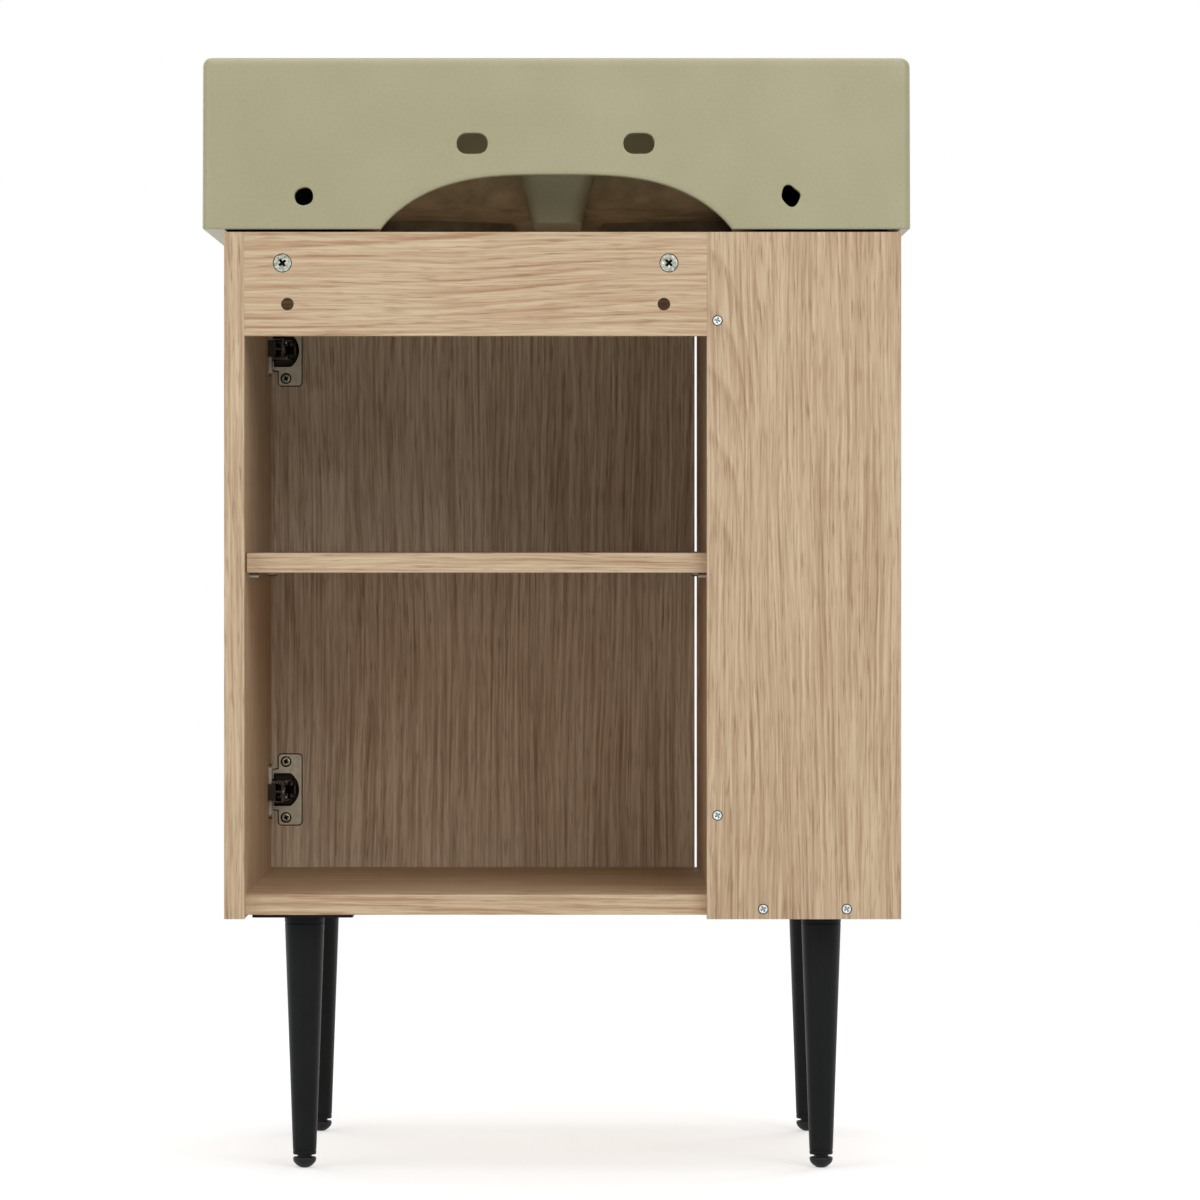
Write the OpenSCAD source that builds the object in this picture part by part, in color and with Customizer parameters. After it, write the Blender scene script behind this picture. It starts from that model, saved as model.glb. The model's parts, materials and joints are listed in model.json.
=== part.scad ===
// Free-standing vanity unit: a ceramic basin on a board cabinet with an open
// shelf column, one door on two concealed cup hinges, and four metal legs.
// Millimetres. X runs across the unit with 0 at the middle of the basin, the
// front faces -Y, and Z = 0 is the floor.

/* [Cabinet] */
// Thickness of every board
board_t = 16; // [14:0.5:19]
// Height of the side panel
cabinet_h = 543; // [500:1:650]
// Depth from the rear face to the front edges of the boards
carcass_d = 427; // [380:1:440]
// How far the middle of the cabinet lies from the middle of the basin
cabinet_shift = -5; // [-6:1:6]
// Width of the back and front panels of the shelf column
column_w = 153.5; // [140:0.5:180]
// How far the divider stands back from the edges of those panels
divider_setback = 2; // [1:0.5:4]

/* [Rails and shelves] */
// Height of the rear rail
rear_rail_h = 82; // [70:1:110]
// Height of the front rail
front_rail_h = 60; // [50:1:80]
// Clear height below the shelf behind the door
lower_bay_h = 255; // [200:1:320]
// How far that shelf stands back from the front and the rear of the carcass
shelf_setback = 16; // [10:1:30]
// Clearance at the ends of every shelf
shelf_gap = 0.8; // [0.3:0.1:1.5]
// Radius of the shelf pins
shelf_pin_r = 2.5; // [2:0.25:3]
// Length of the shelf pins, half of it in the board
shelf_pin_l = 16; // [12:1:20]

/* [Door] */
// Gap between the door and the front edges of the carcass
door_gap = 2; // [1.5:0.1:2.5]
// Gap between the door and the fixed front panel
door_slit = 2; // [1:0.5:4]
// How far the door stays inside the cabinet's outline at its hinge edge
door_edge_in = 1; // [0.5:0.5:3]
// How far the door stays below the top of the cabinet
door_top_in = 3; // [2:0.5:6]
// How far the door stays above the bottom of the cabinet
door_bottom_in = 1; // [0.5:0.5:6]
// Diameter of the knob
knob_d = 28; // [20:1:32]
// Length of the knob in front of the door
knob_l = 22; // [18:1:30]
// Distance of the knob from the free edge and from the top edge of the door
knob_in = 34; // [25:1:60]

/* [Basin] */
// Width of the basin
basin_w = 560; // [550:1:600]
// How far the basin stands out past the middle of the cabinet at each side
basin_overhang = 12.5; // [10:0.5:25]
// Depth of the basin, front to rear
basin_d = 455; // [440:1:480]
// Height of the basin
basin_h = 138; // [125:1:160]
// Thickness of the outer walls
basin_wall = 12; // [9:0.5:16]
// Thickness of the top around the bowl
deck_t = 14; // [10:1:18]
// Radius of the outer edges
basin_edge_r = 7; // [4:0.5:9]
// Length of the bowl's mouth
bowl_l = 496; // [400:1:500]
// Width of the bowl's mouth, front to rear
bowl_w = 306; // [250:1:315]
// Depth of the bowl
bowl_depth = 108; // [90:1:110]
// Thickness of the bowl's wall
bowl_wall = 9; // [7:0.5:10]
// Width of the rim in front of the bowl
front_rim = 32; // [24:1:40]
// Diameter of the tap hole
tap_hole_d = 35; // [28:1:40]
// Diameter of the drain hole
drain_hole_d = 46; // [40:1:48]
// Diameter of the two wall fixing holes in the rear wall
basin_fix_d = 14; // [10:1:16]
// Width of the foot flange under the two sides and the front
foot_flange_w = 36; // [34:1:44]
// Half width of the arch in the rear wall
arch_half_w = 140; // [100:1:150]
// Height of the arch in the rear wall
arch_h = 45.5; // [30:0.5:50]

/* [Legs] */
// Height of the legs, floor to cabinet
leg_h = 202; // [150:1:250]
// Diameter of a leg at its top
leg_top_d = 32; // [28:1:38]
// Diameter of a leg at its foot
leg_foot_d = 18.6; // [17:0.1:22]
// Thickness of the leg's tube
leg_wall = 2; // [1.2:0.1:3]
// Side of the square fixing plates
leg_plate_w = 80; // [70:1:84]
// Thickness of the fixing plates
leg_plate_t = 2.5; // [2:0.5:4]
// Distance of a leg from the sides of the cabinet
leg_inset_x = 61; // [60:1:75]
// Distance of a leg from the front and the rear of the carcass
leg_inset_y = 60; // [58:1:80]
// Height of the levelling foot's dome
foot_h = 8.5; // [7:0.5:12]
// Gap between the dome and the leg as the unit stands
foot_gap = 2; // [2:0.5:4]
// Radius of the levelling foot's thread
foot_thread_r = 4; // [3:0.5:4.5]

/* [Hinges] */
// Height of the lower hinge above the bottom of the cabinet
lower_hinge_h = 85; // [60:1:120]
// Distance of the upper hinge's middle below the front rail
upper_hinge_gap = 21; // [20:1:80]
// Diameter of the hinge cup
cup_d = 35; // [35:0.5:36]
// Depth of the hinge cup
cup_depth = 11.5; // [11.2:0.1:12.5]
// Wood between the cup and the door's hinge edge
cup_edge = 4; // [4:0.5:5]
// Distance between the two screws of the cup's flange
cup_screw_pitch = 48; // [46:1:52]
// Height of the cup's flange
cup_flange_h = 62; // [60:1:68]
// Thickness of the cup's flange
cup_flange_t = 1.2; // [1:0.1:1.4]
// Distance of the mounting plate's screws from the panel's front edge
plate_screw_y = 37; // [37:1:40]
// Distance between the two screws of the mounting plate
plate_screw_pitch = 32; // [32:1:36]
// Height of the hinge arm across its two cheeks
arm_h = 17.2; // [16.8:0.1:18]
// Radius of the hinge pins
hinge_pin_r = 1.25; // [1:0.05:1.35]
// Radial clearance of the hinge pins
pin_play = 0.05; // [0.03:0.01:0.08]

/* [Fittings] */
// Radius of the cam locks
cam_r = 7.5; // [7:0.5:8]
// Height of the cam locks
cam_h = 12.5; // [11:0.5:13]
// Distance of a cam from the end of its board
cam_setback = 30; // [24:1:34]
// Radius of the cam bolts' shank
cam_bolt_r = 3; // [2.5:0.25:3.5]
// Radius of the dowels
dowel_r = 4; // [3:0.5:5]
// Length of the dowels
dowel_l = 30; // [24:1:40]
// Length of the screws through the back panel
back_screw_l = 38; // [30:1:45]
// Diameter of the wall fixing holes in the rear rail
rail_hole_d = 10; // [6:1:12]
// Distance of those holes from the ends of the rail
rail_hole_in = 34; // [20:1:60]

/* [Hidden] */
$fn = 48;
hull_fn = 32;
eps = 0.01;
bar_side = 0.99;

oak = "#cdb08c";
sage = "#b0ad8d";
black = "#232525";
zinc = "#b8b8b4";
nickel = "#a9a498";
clear_grey = "#d8dcdc";
beech = "#c8a06e";

// Overall places
cabinet_w = basin_w - 2 * basin_overhang;
overall_d = max(basin_d, carcass_d + door_gap + board_t + knob_l);
rear_y = overall_d / 2;
front_y = rear_y - carcass_d;
cab_x1 = cabinet_shift + cabinet_w / 2;
cab_x0 = cabinet_shift - cabinet_w / 2;
cab_z0 = leg_h;
cab_z1 = leg_h + cabinet_h;
side_x = cab_x1 - board_t;
panel_x = cab_x0 + column_w;
divider_x1 = panel_x - divider_setback;
divider_x0 = divider_x1 - board_t;
inner_rear_y = rear_y - board_t;
bottom_z0 = cab_z0 + leg_plate_t;
bottom_z1 = bottom_z0 + board_t;
top_board_z0 = cab_z1 - board_t;
shelf_z0 = bottom_z1 + lower_bay_h;
rear_rail_z0 = cab_z1 - rear_rail_h;
front_rail_z0 = cab_z1 - front_rail_h;

// The three bays of the column are equal
column_bay_h = (top_board_z0 - bottom_z1 - 2 * board_t) / 3;
column_shelf_z = [bottom_z1 + column_bay_h,
                  bottom_z1 + 2 * column_bay_h + board_t];

// Door
door_x1 = cab_x1 - door_edge_in;
door_x0 = panel_x + door_slit;
door_y1 = front_y - door_gap;
door_y0 = door_y1 - board_t;
door_z0 = cab_z0 + door_bottom_in;
door_z1 = cab_z1 - door_top_in;
knob_x = door_x0 + knob_in;
knob_z = door_z1 - knob_in;
knob_screw_r = 2;
knob_screw_grip = 12;
bumper_r = 4;
bumper_in = 12;

// Basin
basin_y0 = rear_y - basin_d;
basin_z0 = cab_z1;
basin_z1 = basin_z0 + basin_h;
bowl_y0 = basin_y0 + front_rim;
bowl_y1 = bowl_y0 + bowl_w;
bowl_y = (bowl_y0 + bowl_y1) / 2;
bowl_floor_z = basin_z1 - bowl_depth;
bowl_mouth_r = 60;
bowl_floor_r = 34;
bowl_slope = 30;
bowl_dish = 6;
lip_r = 6;
lip_steps = 2;
foot_flange_t = 10;
drain_boss_r = drain_hole_d / 2 + 12;
drain_boss_h = 12;
boss_fillet_r = 8;
tap_y = (bowl_y1 + rear_y) / 2 - 4;
overflow_d = 22;
overflow_z = basin_z1 - 34;
channel_top_z = basin_z1 - deck_t - 6;
channel_w_top = 36;
channel_w_low = 28;
channel_out_top = 12;
channel_in_low = 10;
channel_low = 2;
channel_rise = 5;
channel_end = 8;
channel_wall = 7;
rib_t = 8;
rib_x = basin_w / 2 - 84;
rib_h = 60;
arch_power = 3.2;
arch_round = 0.85;
arch_steps = 40;
slot_w = 24.5;
slot_h = 16.5;
slot_r = 7;
slot_z = basin_z0 + 70;
slot_x = [66.5, -65.3];
basin_fix_x = [199, -185];
basin_fix_z = basin_z0 + 28.5;

// Legs, one for each pair of inset corners
leg_x = [cab_x0 + leg_inset_x, cab_x1 - leg_inset_x];
leg_y = [front_y + leg_inset_y, rear_y - leg_inset_y];
leg_z0 = foot_h + foot_gap;
leg_stud_r = 4;
leg_stud_l = 9;
leg_stud_room = 2;
leg_plug_l = 30;
leg_cap_t = 6;
plate_screw_in = 8;
plate_screw_l = 13;
foot_collar_r = 6;
foot_thread_l = 22;
foot_play = 0.05;
foot_counterbore = 3;
foot_edge_r = 3;

// Fittings
cam_room = 0.3;
cam_bolt_room = 1;
cam_bolt_thread_r = 2.5;
cam_bolt_thread_l = 11;
cam_bolt_head_r = 3.4;
cam_cross = [9, 2, 2.5];
wood_screw_r = 1.75;
wood_head_r = 4;
wood_head_h = 2.6;
back_panel_hole_r = 2.1;
back_screw_low = 5.5;
rail_hole_up = 25;
back_screw_side_x = 8.3;
back_screw_bottom_x = [43, 109];
back_screw_side_z = [82, cabinet_h - 70];

// Cam joints: the point where the two boards meet on the bolt's axis, the
// way into the board that holds the cam, and the way to the cam's open face
rear_cam_z = cab_z1 - 24.5;
front_cam_z = front_rail_z0 + front_rail_h / 2;
cam_joints = [
    [[side_x, rear_y - board_t / 2, rear_cam_z], [-1, 0, 0], [0, 1, 0]],
    [[panel_x, rear_y - board_t / 2, rear_cam_z], [1, 0, 0], [0, 1, 0]],
    [[side_x, front_y + board_t / 2, front_cam_z], [-1, 0, 0], [0, 1, 0]],
    [[divider_x1, front_y + board_t / 2, front_cam_z], [1, 0, 0], [0, 1, 0]],
    [[side_x, 50, bottom_z0 + board_t / 2], [-1, 0, 0], [0, 0, -1]],
    [[side_x, -50, bottom_z0 + board_t / 2], [-1, 0, 0], [0, 0, -1]],
    [[divider_x0 + board_t / 2, 110, bottom_z1], [0, 0, 1], [-1, 0, 0]],
    [[divider_x0 + board_t / 2, -110, bottom_z1], [0, 0, 1], [-1, 0, 0]],
    [[divider_x0 + board_t / 2, front_y, cab_z0 + 90], [0, 1, 0], [-1, 0, 0]],
    [[divider_x0 + board_t / 2, front_y, cab_z1 - 90], [0, 1, 0], [-1, 0, 0]],
    [[cab_x0 + 68, inner_rear_y, top_board_z0 + board_t / 2],
        [0, -1, 0], [0, 0, -1]],
    [[cab_x0 + 68, front_y, top_board_z0 + board_t / 2],
        [0, 1, 0], [0, 0, -1]]
];

// Dowels: the point where the two boards meet, and the dowel's direction
top_dowel_x = [cab_x0 + 22, divider_x0 - 21.5];
dowel_joints = [
    [[side_x, rear_y - board_t / 2, rear_rail_z0 + 38], [1, 0, 0]],
    [[panel_x, rear_y - board_t / 2, rear_rail_z0 + 38], [1, 0, 0]],
    [[side_x, front_y + board_t / 2, front_rail_z0 + 12], [1, 0, 0]],
    [[divider_x1, front_y + board_t / 2, front_rail_z0 + 12], [1, 0, 0]],
    [[side_x, 80, bottom_z0 + board_t / 2], [1, 0, 0]],
    [[side_x, -80, bottom_z0 + board_t / 2], [1, 0, 0]],
    [[divider_x0 + board_t / 2, 60, bottom_z1], [0, 0, 1]],
    [[divider_x0 + board_t / 2, -60, bottom_z1], [0, 0, 1]],
    [[cab_x0 + 30, front_y, bottom_z0 + board_t / 2], [0, 1, 0]],
    [[cab_x0 + 100, front_y, bottom_z0 + board_t / 2], [0, 1, 0]],
    [[top_dowel_x[0], inner_rear_y, top_board_z0 + board_t / 2], [0, 1, 0]],
    [[top_dowel_x[1], inner_rear_y, top_board_z0 + board_t / 2], [0, 1, 0]],
    [[top_dowel_x[0], front_y, top_board_z0 + board_t / 2], [0, 1, 0]],
    [[top_dowel_x[1], front_y, top_board_z0 + board_t / 2], [0, 1, 0]]
];
dowel_room = 0.5;

// Shelf pins: where a pin enters its board, and the way it points out
inner_pin_y = [front_y + 60, rear_y - 76];
column_pin_x = [cab_x0 + 26, divider_x0 - 24];
shelf_pin_places = concat(
    [for (y = inner_pin_y) [[side_x, y, shelf_z0 - shelf_pin_r], [-1, 0, 0]]],
    [for (y = inner_pin_y)
        [[divider_x1, y, shelf_z0 - shelf_pin_r], [1, 0, 0]]],
    [for (x = column_pin_x, z = column_shelf_z)
        [[x, inner_rear_y, z - shelf_pin_r], [0, -1, 0]]],
    [for (x = column_pin_x, z = column_shelf_z)
        [[x, front_y, z - shelf_pin_r], [0, 1, 0]]]
);

// Screws through the back panel: two into the divider, two into the bottom
back_screws = concat(
    [for (z = back_screw_side_z) [panel_x - back_screw_side_x, cab_z0 + z]],
    [for (x = back_screw_bottom_x) [cab_x0 + x, bottom_z0 + back_screw_low]]
);

// Hinges, in their own frame: x from the inner face of the side panel, y from
// its front edge towards the rear, z from the hinge's middle. The pins are
// given for the closed door.
hinge_z = [cab_z0 + lower_hinge_h, front_rail_z0 - upper_hinge_gap];
cup_x = board_t - door_edge_in - cup_edge - cup_d / 2;
cup_wall = 1.1;
cup_floor = 1;
cup_pin_end = 0.5;
pocket_r = cup_d / 2 - cup_wall;
pocket_h = 26.4;
shoulder_x = cup_x + 3.5;
shoulder_h = 16.4;
flange_out = cup_d / 2 + 2.8;
flange_in = cup_x + 1.1;
flange_corner_r = 3.5;
rim_r = cup_d / 2 + 0.9;
rim_relief = [16.1, 0.9, 15.6];
cup_screw_x = cup_x - 6;
arm_pin_1 = [cup_x - 5.6, -door_gap - 3];
arm_pin_2 = [cup_x - 10.5, -door_gap - 0.5];
cup_pin_1 = [cup_x + 10.7, -door_gap - 1.8];
cup_pin_2 = [cup_x + 13.1, -door_gap - 6.75];
outer_knee = [cup_x + 6.5, -door_gap - 3.2];
inner_knee = [cup_x + 6, -door_gap - 8.2];
outer_eye_r = 2.5;
outer_bar_r = 2;
inner_eye_r = 2.4;
inner_bar_r = 1.5;
inner_slot_travel = 2.9;
inner_slot_play = 0.3;
web_far = [cup_x - 7, -door_gap - 6.8];
web_near = [cup_x + 0.2, -door_gap - 8.3];
web_t = 1.2;
arm_sheet = 1.2;
arm_web_x = -12.6;
arm_rear_y = 62;
arm_web_front_y = 19;
arm_cheek_x = -5;
outer_cheek_top = arm_h / 2 - arm_sheet - 0.2;
outer_sheet = 1.2;
inner_h = 7;
cup_stub_in = outer_cheek_top - outer_sheet - 0.2;
plate_t = 2.5;
plate_wing_w = 17;
plate_wing_h = 47;
plate_body_x = 6.5;
plate_body_y = [20, 60];
plate_body_h = arm_h - 2 * arm_sheet - 0.8;
hinge_screw_r = 1.8;
hinge_head_r = 4.1;
hinge_head_h = 2.2;
arm_screw_y = [26, 49];
arm_screw_r = 2.4;
arm_screw_head_r = 3.6;
spring_wire_r = 0.35;
spring_r = 1.9;
spring_turns = 2.5;
spring_pitch = 1.15;
spring_rings = 8;
spring_sides = 6;

// Turns a child so that its +X runs along d and its +Z along f
module along(p, d, f) {
    s = cross(f, d);
    multmatrix([
        [d[0], s[0], f[0], p[0]],
        [d[1], s[1], f[1], p[1]],
        [d[2], s[2], f[2], p[2]],
        [0, 0, 0, 1]
    ])
        children();
}

// Any unit vector square to d, for round things
function square_to(d) = abs(d[2]) > 0.5 ? [1, 0, 0] : [0, 0, 1];

// A board between two opposite corners
module board(lo, hi) {
    translate(lo)
        cube(hi - lo);
}

// Flat rectangle with round corners, middle at the origin
module round_rect(w, h, r) {
    square([w - 2 * r, h], center = true);
    square([w, h - 2 * r], center = true);
    for (sx = [-1, 1], sy = [-1, 1])
        translate([sx * (w / 2 - r), sy * (h / 2 - r)])
            circle(r);
}

// Flat bar with round ends, its straight sides a hair inside the ends' width
module round_bar(p, q, r) {
    length = norm(q - p);
    turn = atan2(q[1] - p[1], q[0] - p[0]);
    side = r * bar_side;
    translate(p)
        rotate(turn)
            translate([0, -side])
                square([length, 2 * side]);
    translate(p)
        circle(r);
    translate(q)
        circle(r);
}

// Cross recess for a driver, with its mouth at z = 0
module cross_recess(w, t, deep) {
    for (turn = [0, 90])
        rotate(turn)
            translate([-w / 2, -t / 2, -deep])
                cube([w, t, deep + 1]);
}

// Screw pointing down from its head's top at z = 0, head countersunk
module sunk_screw(length, r, head_r, head_h) {
    difference() {
        rotate_extrude()
            polygon([[0, 0], [head_r, 0], [head_r, -0.4],
                     [r, -head_h], [r, -length + 2 * r], [0.3, -length],
                     [0, -length]]);
        cross_recess(head_r * 1.1, head_r * 0.26, head_h * 0.7);
    }
}

// Screw pointing down from under its pan head at z = 0
module pan_screw(length, r, head_r, head_h) {
    difference() {
        union() {
            translate([0, 0, -length])
                cylinder(r = r, h = length + eps);
            intersection() {
                cylinder(r = head_r, h = head_h);
                translate([0, 0, head_h - head_r * 1.6])
                    sphere(r = head_r * 1.6);
            }
        }
        translate([0, 0, head_h])
            cross_recess(head_r * 1.1, head_r * 0.26, head_h * 0.7);
    }
}

// Room for a countersunk screw, from the surface down
module sunk_hole(length, r, head_r, head_h) {
    rotate_extrude()
        polygon([[0, 1], [head_r + 0.3, 1], [head_r + 0.3, -0.4],
                 [r, -head_h], [r, -length], [0, -length]]);
}

// Cam pocket and bolt hole in the board that holds the cam
module cam_room_cut(j) {
    along(j[0], j[1], j[2]) {
        translate([cam_setback, 0, board_t / 2 - cam_h - cam_room])
            cylinder(r = cam_r, h = cam_h + cam_room + 1);
        translate([-1, 0, 0])
            rotate([0, 90, 0])
                cylinder(r = cam_bolt_r + cam_bolt_room, h = cam_setback + 1);
    }
}

// Pilot hole for the cam bolt in the other board
module cam_pilot_cut(j) {
    along(j[0], j[1], j[2])
        translate([-cam_bolt_thread_l - 0.5, 0, 0])
            rotate([0, 90, 0])
                cylinder(r = cam_bolt_thread_r, h = cam_bolt_thread_l + 1);
}

module dowel_cut(j) {
    along(j[0], j[1], square_to(j[1]))
        translate([-dowel_l / 2 - dowel_room, 0, 0])
            rotate([0, 90, 0])
                cylinder(r = dowel_r, h = dowel_l + 2 * dowel_room);
}

module shelf_pin_cut(j) {
    along(j[0], j[1], square_to(j[1]))
        translate([-shelf_pin_l / 2, 0, 0])
            rotate([0, 90, 0])
                cylinder(r = shelf_pin_r, h = shelf_pin_l / 2 + 1);
}

// Every fitting hole that a carcass board may share
module joint_cuts(cams = [], pilots = [], dowels = [], pins = []) {
    for (i = cams)
        cam_room_cut(cam_joints[i]);
    for (i = pilots)
        cam_pilot_cut(cam_joints[i]);
    for (i = dowels)
        dowel_cut(dowel_joints[i]);
    for (i = pins)
        shelf_pin_cut(shelf_pin_places[i]);
}

module side_panel() {
    color(oak)
        difference() {
            board([side_x, front_y, cab_z0], [cab_x1, rear_y, cab_z1]);
            joint_cuts(pilots = [0, 2, 4, 5], dowels = [0, 2, 4, 5],
                       pins = [0, 1]);
            for (z = hinge_z, s = [-1, 1])
                translate([side_x, front_y + plate_screw_y,
                           z + s * plate_screw_pitch / 2])
                    rotate([0, 90, 0])
                        translate([0, 0, -1])
                            cylinder(r = hinge_screw_r, h = board_t - 3);
        }
}

module divider_panel() {
    color(oak)
        difference() {
            board([divider_x0, front_y, bottom_z1],
                  [divider_x1, inner_rear_y, cab_z1]);
            joint_cuts(cams = [6, 7, 8, 9], pilots = [3],
                       dowels = [3, 6, 7], pins = [2, 3]);
            for (i = [0, 1])
                back_screw_pilot(back_screws[i]);
        }
}

module bottom_panel() {
    color(oak)
        difference() {
            board([cab_x0, front_y, bottom_z0],
                  [side_x, inner_rear_y, bottom_z1]);
            joint_cuts(cams = [4, 5], pilots = [6, 7],
                       dowels = [4, 5, 6, 7, 8, 9]);
            for (i = [2, 3])
                back_screw_pilot(back_screws[i]);
            for (x = leg_x, y = leg_y)
                translate([x, y, bottom_z0]) {
                    translate([0, 0, -1])
                        cylinder(r = leg_stud_r + leg_stud_room,
                                 h = leg_stud_l + 1);
                    plate_screw_places()
                        translate([0, 0, -1])
                            cylinder(r = wood_screw_r,
                                     h = plate_screw_l - leg_plate_t + 1);
                }
        }
}

module back_screw_pilot(p) {
    translate([p[0], rear_y - back_screw_l, p[1]])
        rotate([-90, 0, 0])
            cylinder(r = wood_screw_r, h = back_screw_l - board_t + 1);
}

module back_panel() {
    color(oak)
        difference() {
            board([cab_x0, inner_rear_y, cab_z0], [panel_x, rear_y, cab_z1]);
            joint_cuts(pilots = [1, 10], dowels = [1, 10, 11],
                       pins = [4, 5, 6, 7]);
            for (p = back_screws)
                translate([p[0], rear_y, p[1]])
                    rotate([-90, 0, 0])
                        sunk_hole(board_t + 1, back_panel_hole_r,
                                  wood_head_r, wood_head_h);
        }
}

module front_panel() {
    color(oak)
        difference() {
            board([cab_x0, front_y - board_t, cab_z0],
                  [panel_x, front_y, cab_z1]);
            joint_cuts(pilots = [8, 9, 11], dowels = [8, 9, 12, 13],
                       pins = [8, 9, 10, 11]);
        }
}

module rear_rail() {
    color(oak)
        difference() {
            board([panel_x, inner_rear_y, rear_rail_z0],
                  [side_x, rear_y, cab_z1]);
            joint_cuts(cams = [0, 1], dowels = [0, 1]);
            for (x = [side_x - rail_hole_in, panel_x + rail_hole_in])
                translate([x, inner_rear_y - 1,
                           rear_rail_z0 + rail_hole_up])
                    rotate([-90, 0, 0])
                        cylinder(r = rail_hole_d / 2, h = board_t + 2);
        }
}

module front_rail() {
    color(oak)
        difference() {
            board([divider_x1, front_y, front_rail_z0],
                  [side_x, front_y + board_t, cab_z1]);
            joint_cuts(cams = [2, 3], dowels = [2, 3]);
        }
}

module column_top_board() {
    color(oak)
        difference() {
            board([cab_x0, front_y, top_board_z0],
                  [divider_x0, inner_rear_y, cab_z1]);
            joint_cuts(cams = [10, 11], dowels = [10, 11, 12, 13]);
        }
}

module inner_shelf() {
    color(oak)
        board([divider_x1 + shelf_gap, front_y + shelf_setback, shelf_z0],
              [side_x - shelf_gap, rear_y - shelf_setback,
               shelf_z0 + board_t]);
}

module column_shelf(z) {
    color(oak)
        board([cab_x0, front_y + shelf_gap, z],
              [divider_x0 - shelf_gap, inner_rear_y - shelf_gap,
               z + board_t]);
}

module shelf_pins() {
    color(zinc)
        for (j = shelf_pin_places)
            along(j[0], j[1], square_to(j[1]))
                rotate([0, 90, 0])
                    rotate_extrude()
                        polygon([[0, -shelf_pin_l / 2],
                                 [shelf_pin_r - 0.5, -shelf_pin_l / 2],
                                 [shelf_pin_r, -shelf_pin_l / 2 + 0.5],
                                 [shelf_pin_r, shelf_pin_l / 2 - 0.5],
                                 [shelf_pin_r - 0.5, shelf_pin_l / 2],
                                 [0, shelf_pin_l / 2]]);
}

// A cam: a drum with a slot that takes the bolt's head from one side
module cam_locks() {
    color(zinc)
        for (j = cam_joints)
            along(j[0], j[1], j[2])
                difference() {
                    translate([cam_setback, 0, board_t / 2 - cam_h])
                        cylinder(r = cam_r, h = cam_h);
                    translate([cam_setback - cam_r - 1, 0, 0])
                        rotate([0, 90, 0])
                            cylinder(r = cam_bolt_head_r + 0.2,
                                     h = cam_r + 1 + cam_bolt_head_r);
                    translate([cam_setback, 0, board_t / 2])
                        cross_recess(cam_cross[0], cam_cross[1], cam_cross[2]);
                }
}

module cam_bolts() {
    head = cam_setback + cam_bolt_head_r;
    neck_r = cam_bolt_r - 1;
    color(zinc)
        for (j = cam_joints)
            along(j[0], j[1], j[2])
                rotate([0, 90, 0])
                    rotate_extrude()
                        polygon([[0, -cam_bolt_thread_l],
                                 [cam_bolt_thread_r - 1, -cam_bolt_thread_l],
                                 [cam_bolt_thread_r, -cam_bolt_thread_l + 2],
                                 [cam_bolt_thread_r, 0],
                                 [cam_bolt_r + cam_bolt_room, 0],
                                 [cam_bolt_r + cam_bolt_room, 1.5],
                                 [cam_bolt_r, 2.5],
                                 [cam_bolt_r, head - 9],
                                 [neck_r, head - 8],
                                 [neck_r, head - 4],
                                 [cam_bolt_head_r, head - 3],
                                 [cam_bolt_head_r, head - 1],
                                 [cam_bolt_head_r - 1, head],
                                 [0, head]]);
}

module dowels() {
    color(beech)
        for (j = dowel_joints)
            along(j[0], j[1], square_to(j[1]))
                rotate([0, 90, 0])
                    rotate_extrude()
                        polygon([[0, -dowel_l / 2],
                                 [dowel_r - 1, -dowel_l / 2],
                                 [dowel_r, -dowel_l / 2 + 1],
                                 [dowel_r, dowel_l / 2 - 1],
                                 [dowel_r - 1, dowel_l / 2],
                                 [0, dowel_l / 2]]);
}

module back_panel_screws() {
    color(zinc)
        for (p = back_screws)
            translate([p[0], rear_y - 0.3, p[1]])
                rotate([-90, 0, 0])
                    sunk_screw(back_screw_l - 0.3, wood_screw_r,
                               wood_head_r, wood_head_h);
}

// Outline of the bowl: round mouth above, smaller dished floor below, both
// grown by one value so that the same form gives the cavity and its wall
module bowl_form(grow) {
    mouth_x = bowl_l / 2 - bowl_mouth_r;
    mouth_y = bowl_w / 2 - bowl_mouth_r;
    floor_x = bowl_l / 2 - bowl_slope - bowl_floor_r;
    floor_y = bowl_w / 2 - bowl_slope - bowl_floor_r;
    hull() {
        for (sx = [-1, 1], sy = [-1, 1]) {
            translate([sx * mouth_x, bowl_y + sy * mouth_y,
                       basin_z1 - deck_t / 2])
                cylinder(r = bowl_mouth_r + grow, h = deck_t / 2 + 1,
                         $fn = hull_fn);
            translate([sx * floor_x, bowl_y + sy * floor_y,
                       bowl_floor_z + bowl_dish + bowl_floor_r])
                sphere(r = bowl_floor_r + grow, $fn = hull_fn);
        }
        translate([0, bowl_y, bowl_floor_z - grow])
            cylinder(r = drain_hole_d / 2 + grow, h = 1, $fn = hull_fn);
    }
}

// The bowl's lip, rounded into the deck in two steps of a quarter circle
module bowl_lip() {
    mouth_x = bowl_l / 2 - bowl_mouth_r;
    mouth_y = bowl_w / 2 - bowl_mouth_r;
    for (step = [0:lip_steps - 1])
        hull()
            for (a = [step, step + 1] * 90 / lip_steps,
                 sx = [-1, 1], sy = [-1, 1])
                translate([sx * mouth_x, bowl_y + sy * mouth_y,
                           basin_z1 - lip_r * (1 - sin(a))])
                    cylinder(r = bowl_mouth_r + lip_r * (1 - cos(a)),
                             h = eps, $fn = hull_fn);
}

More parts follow.
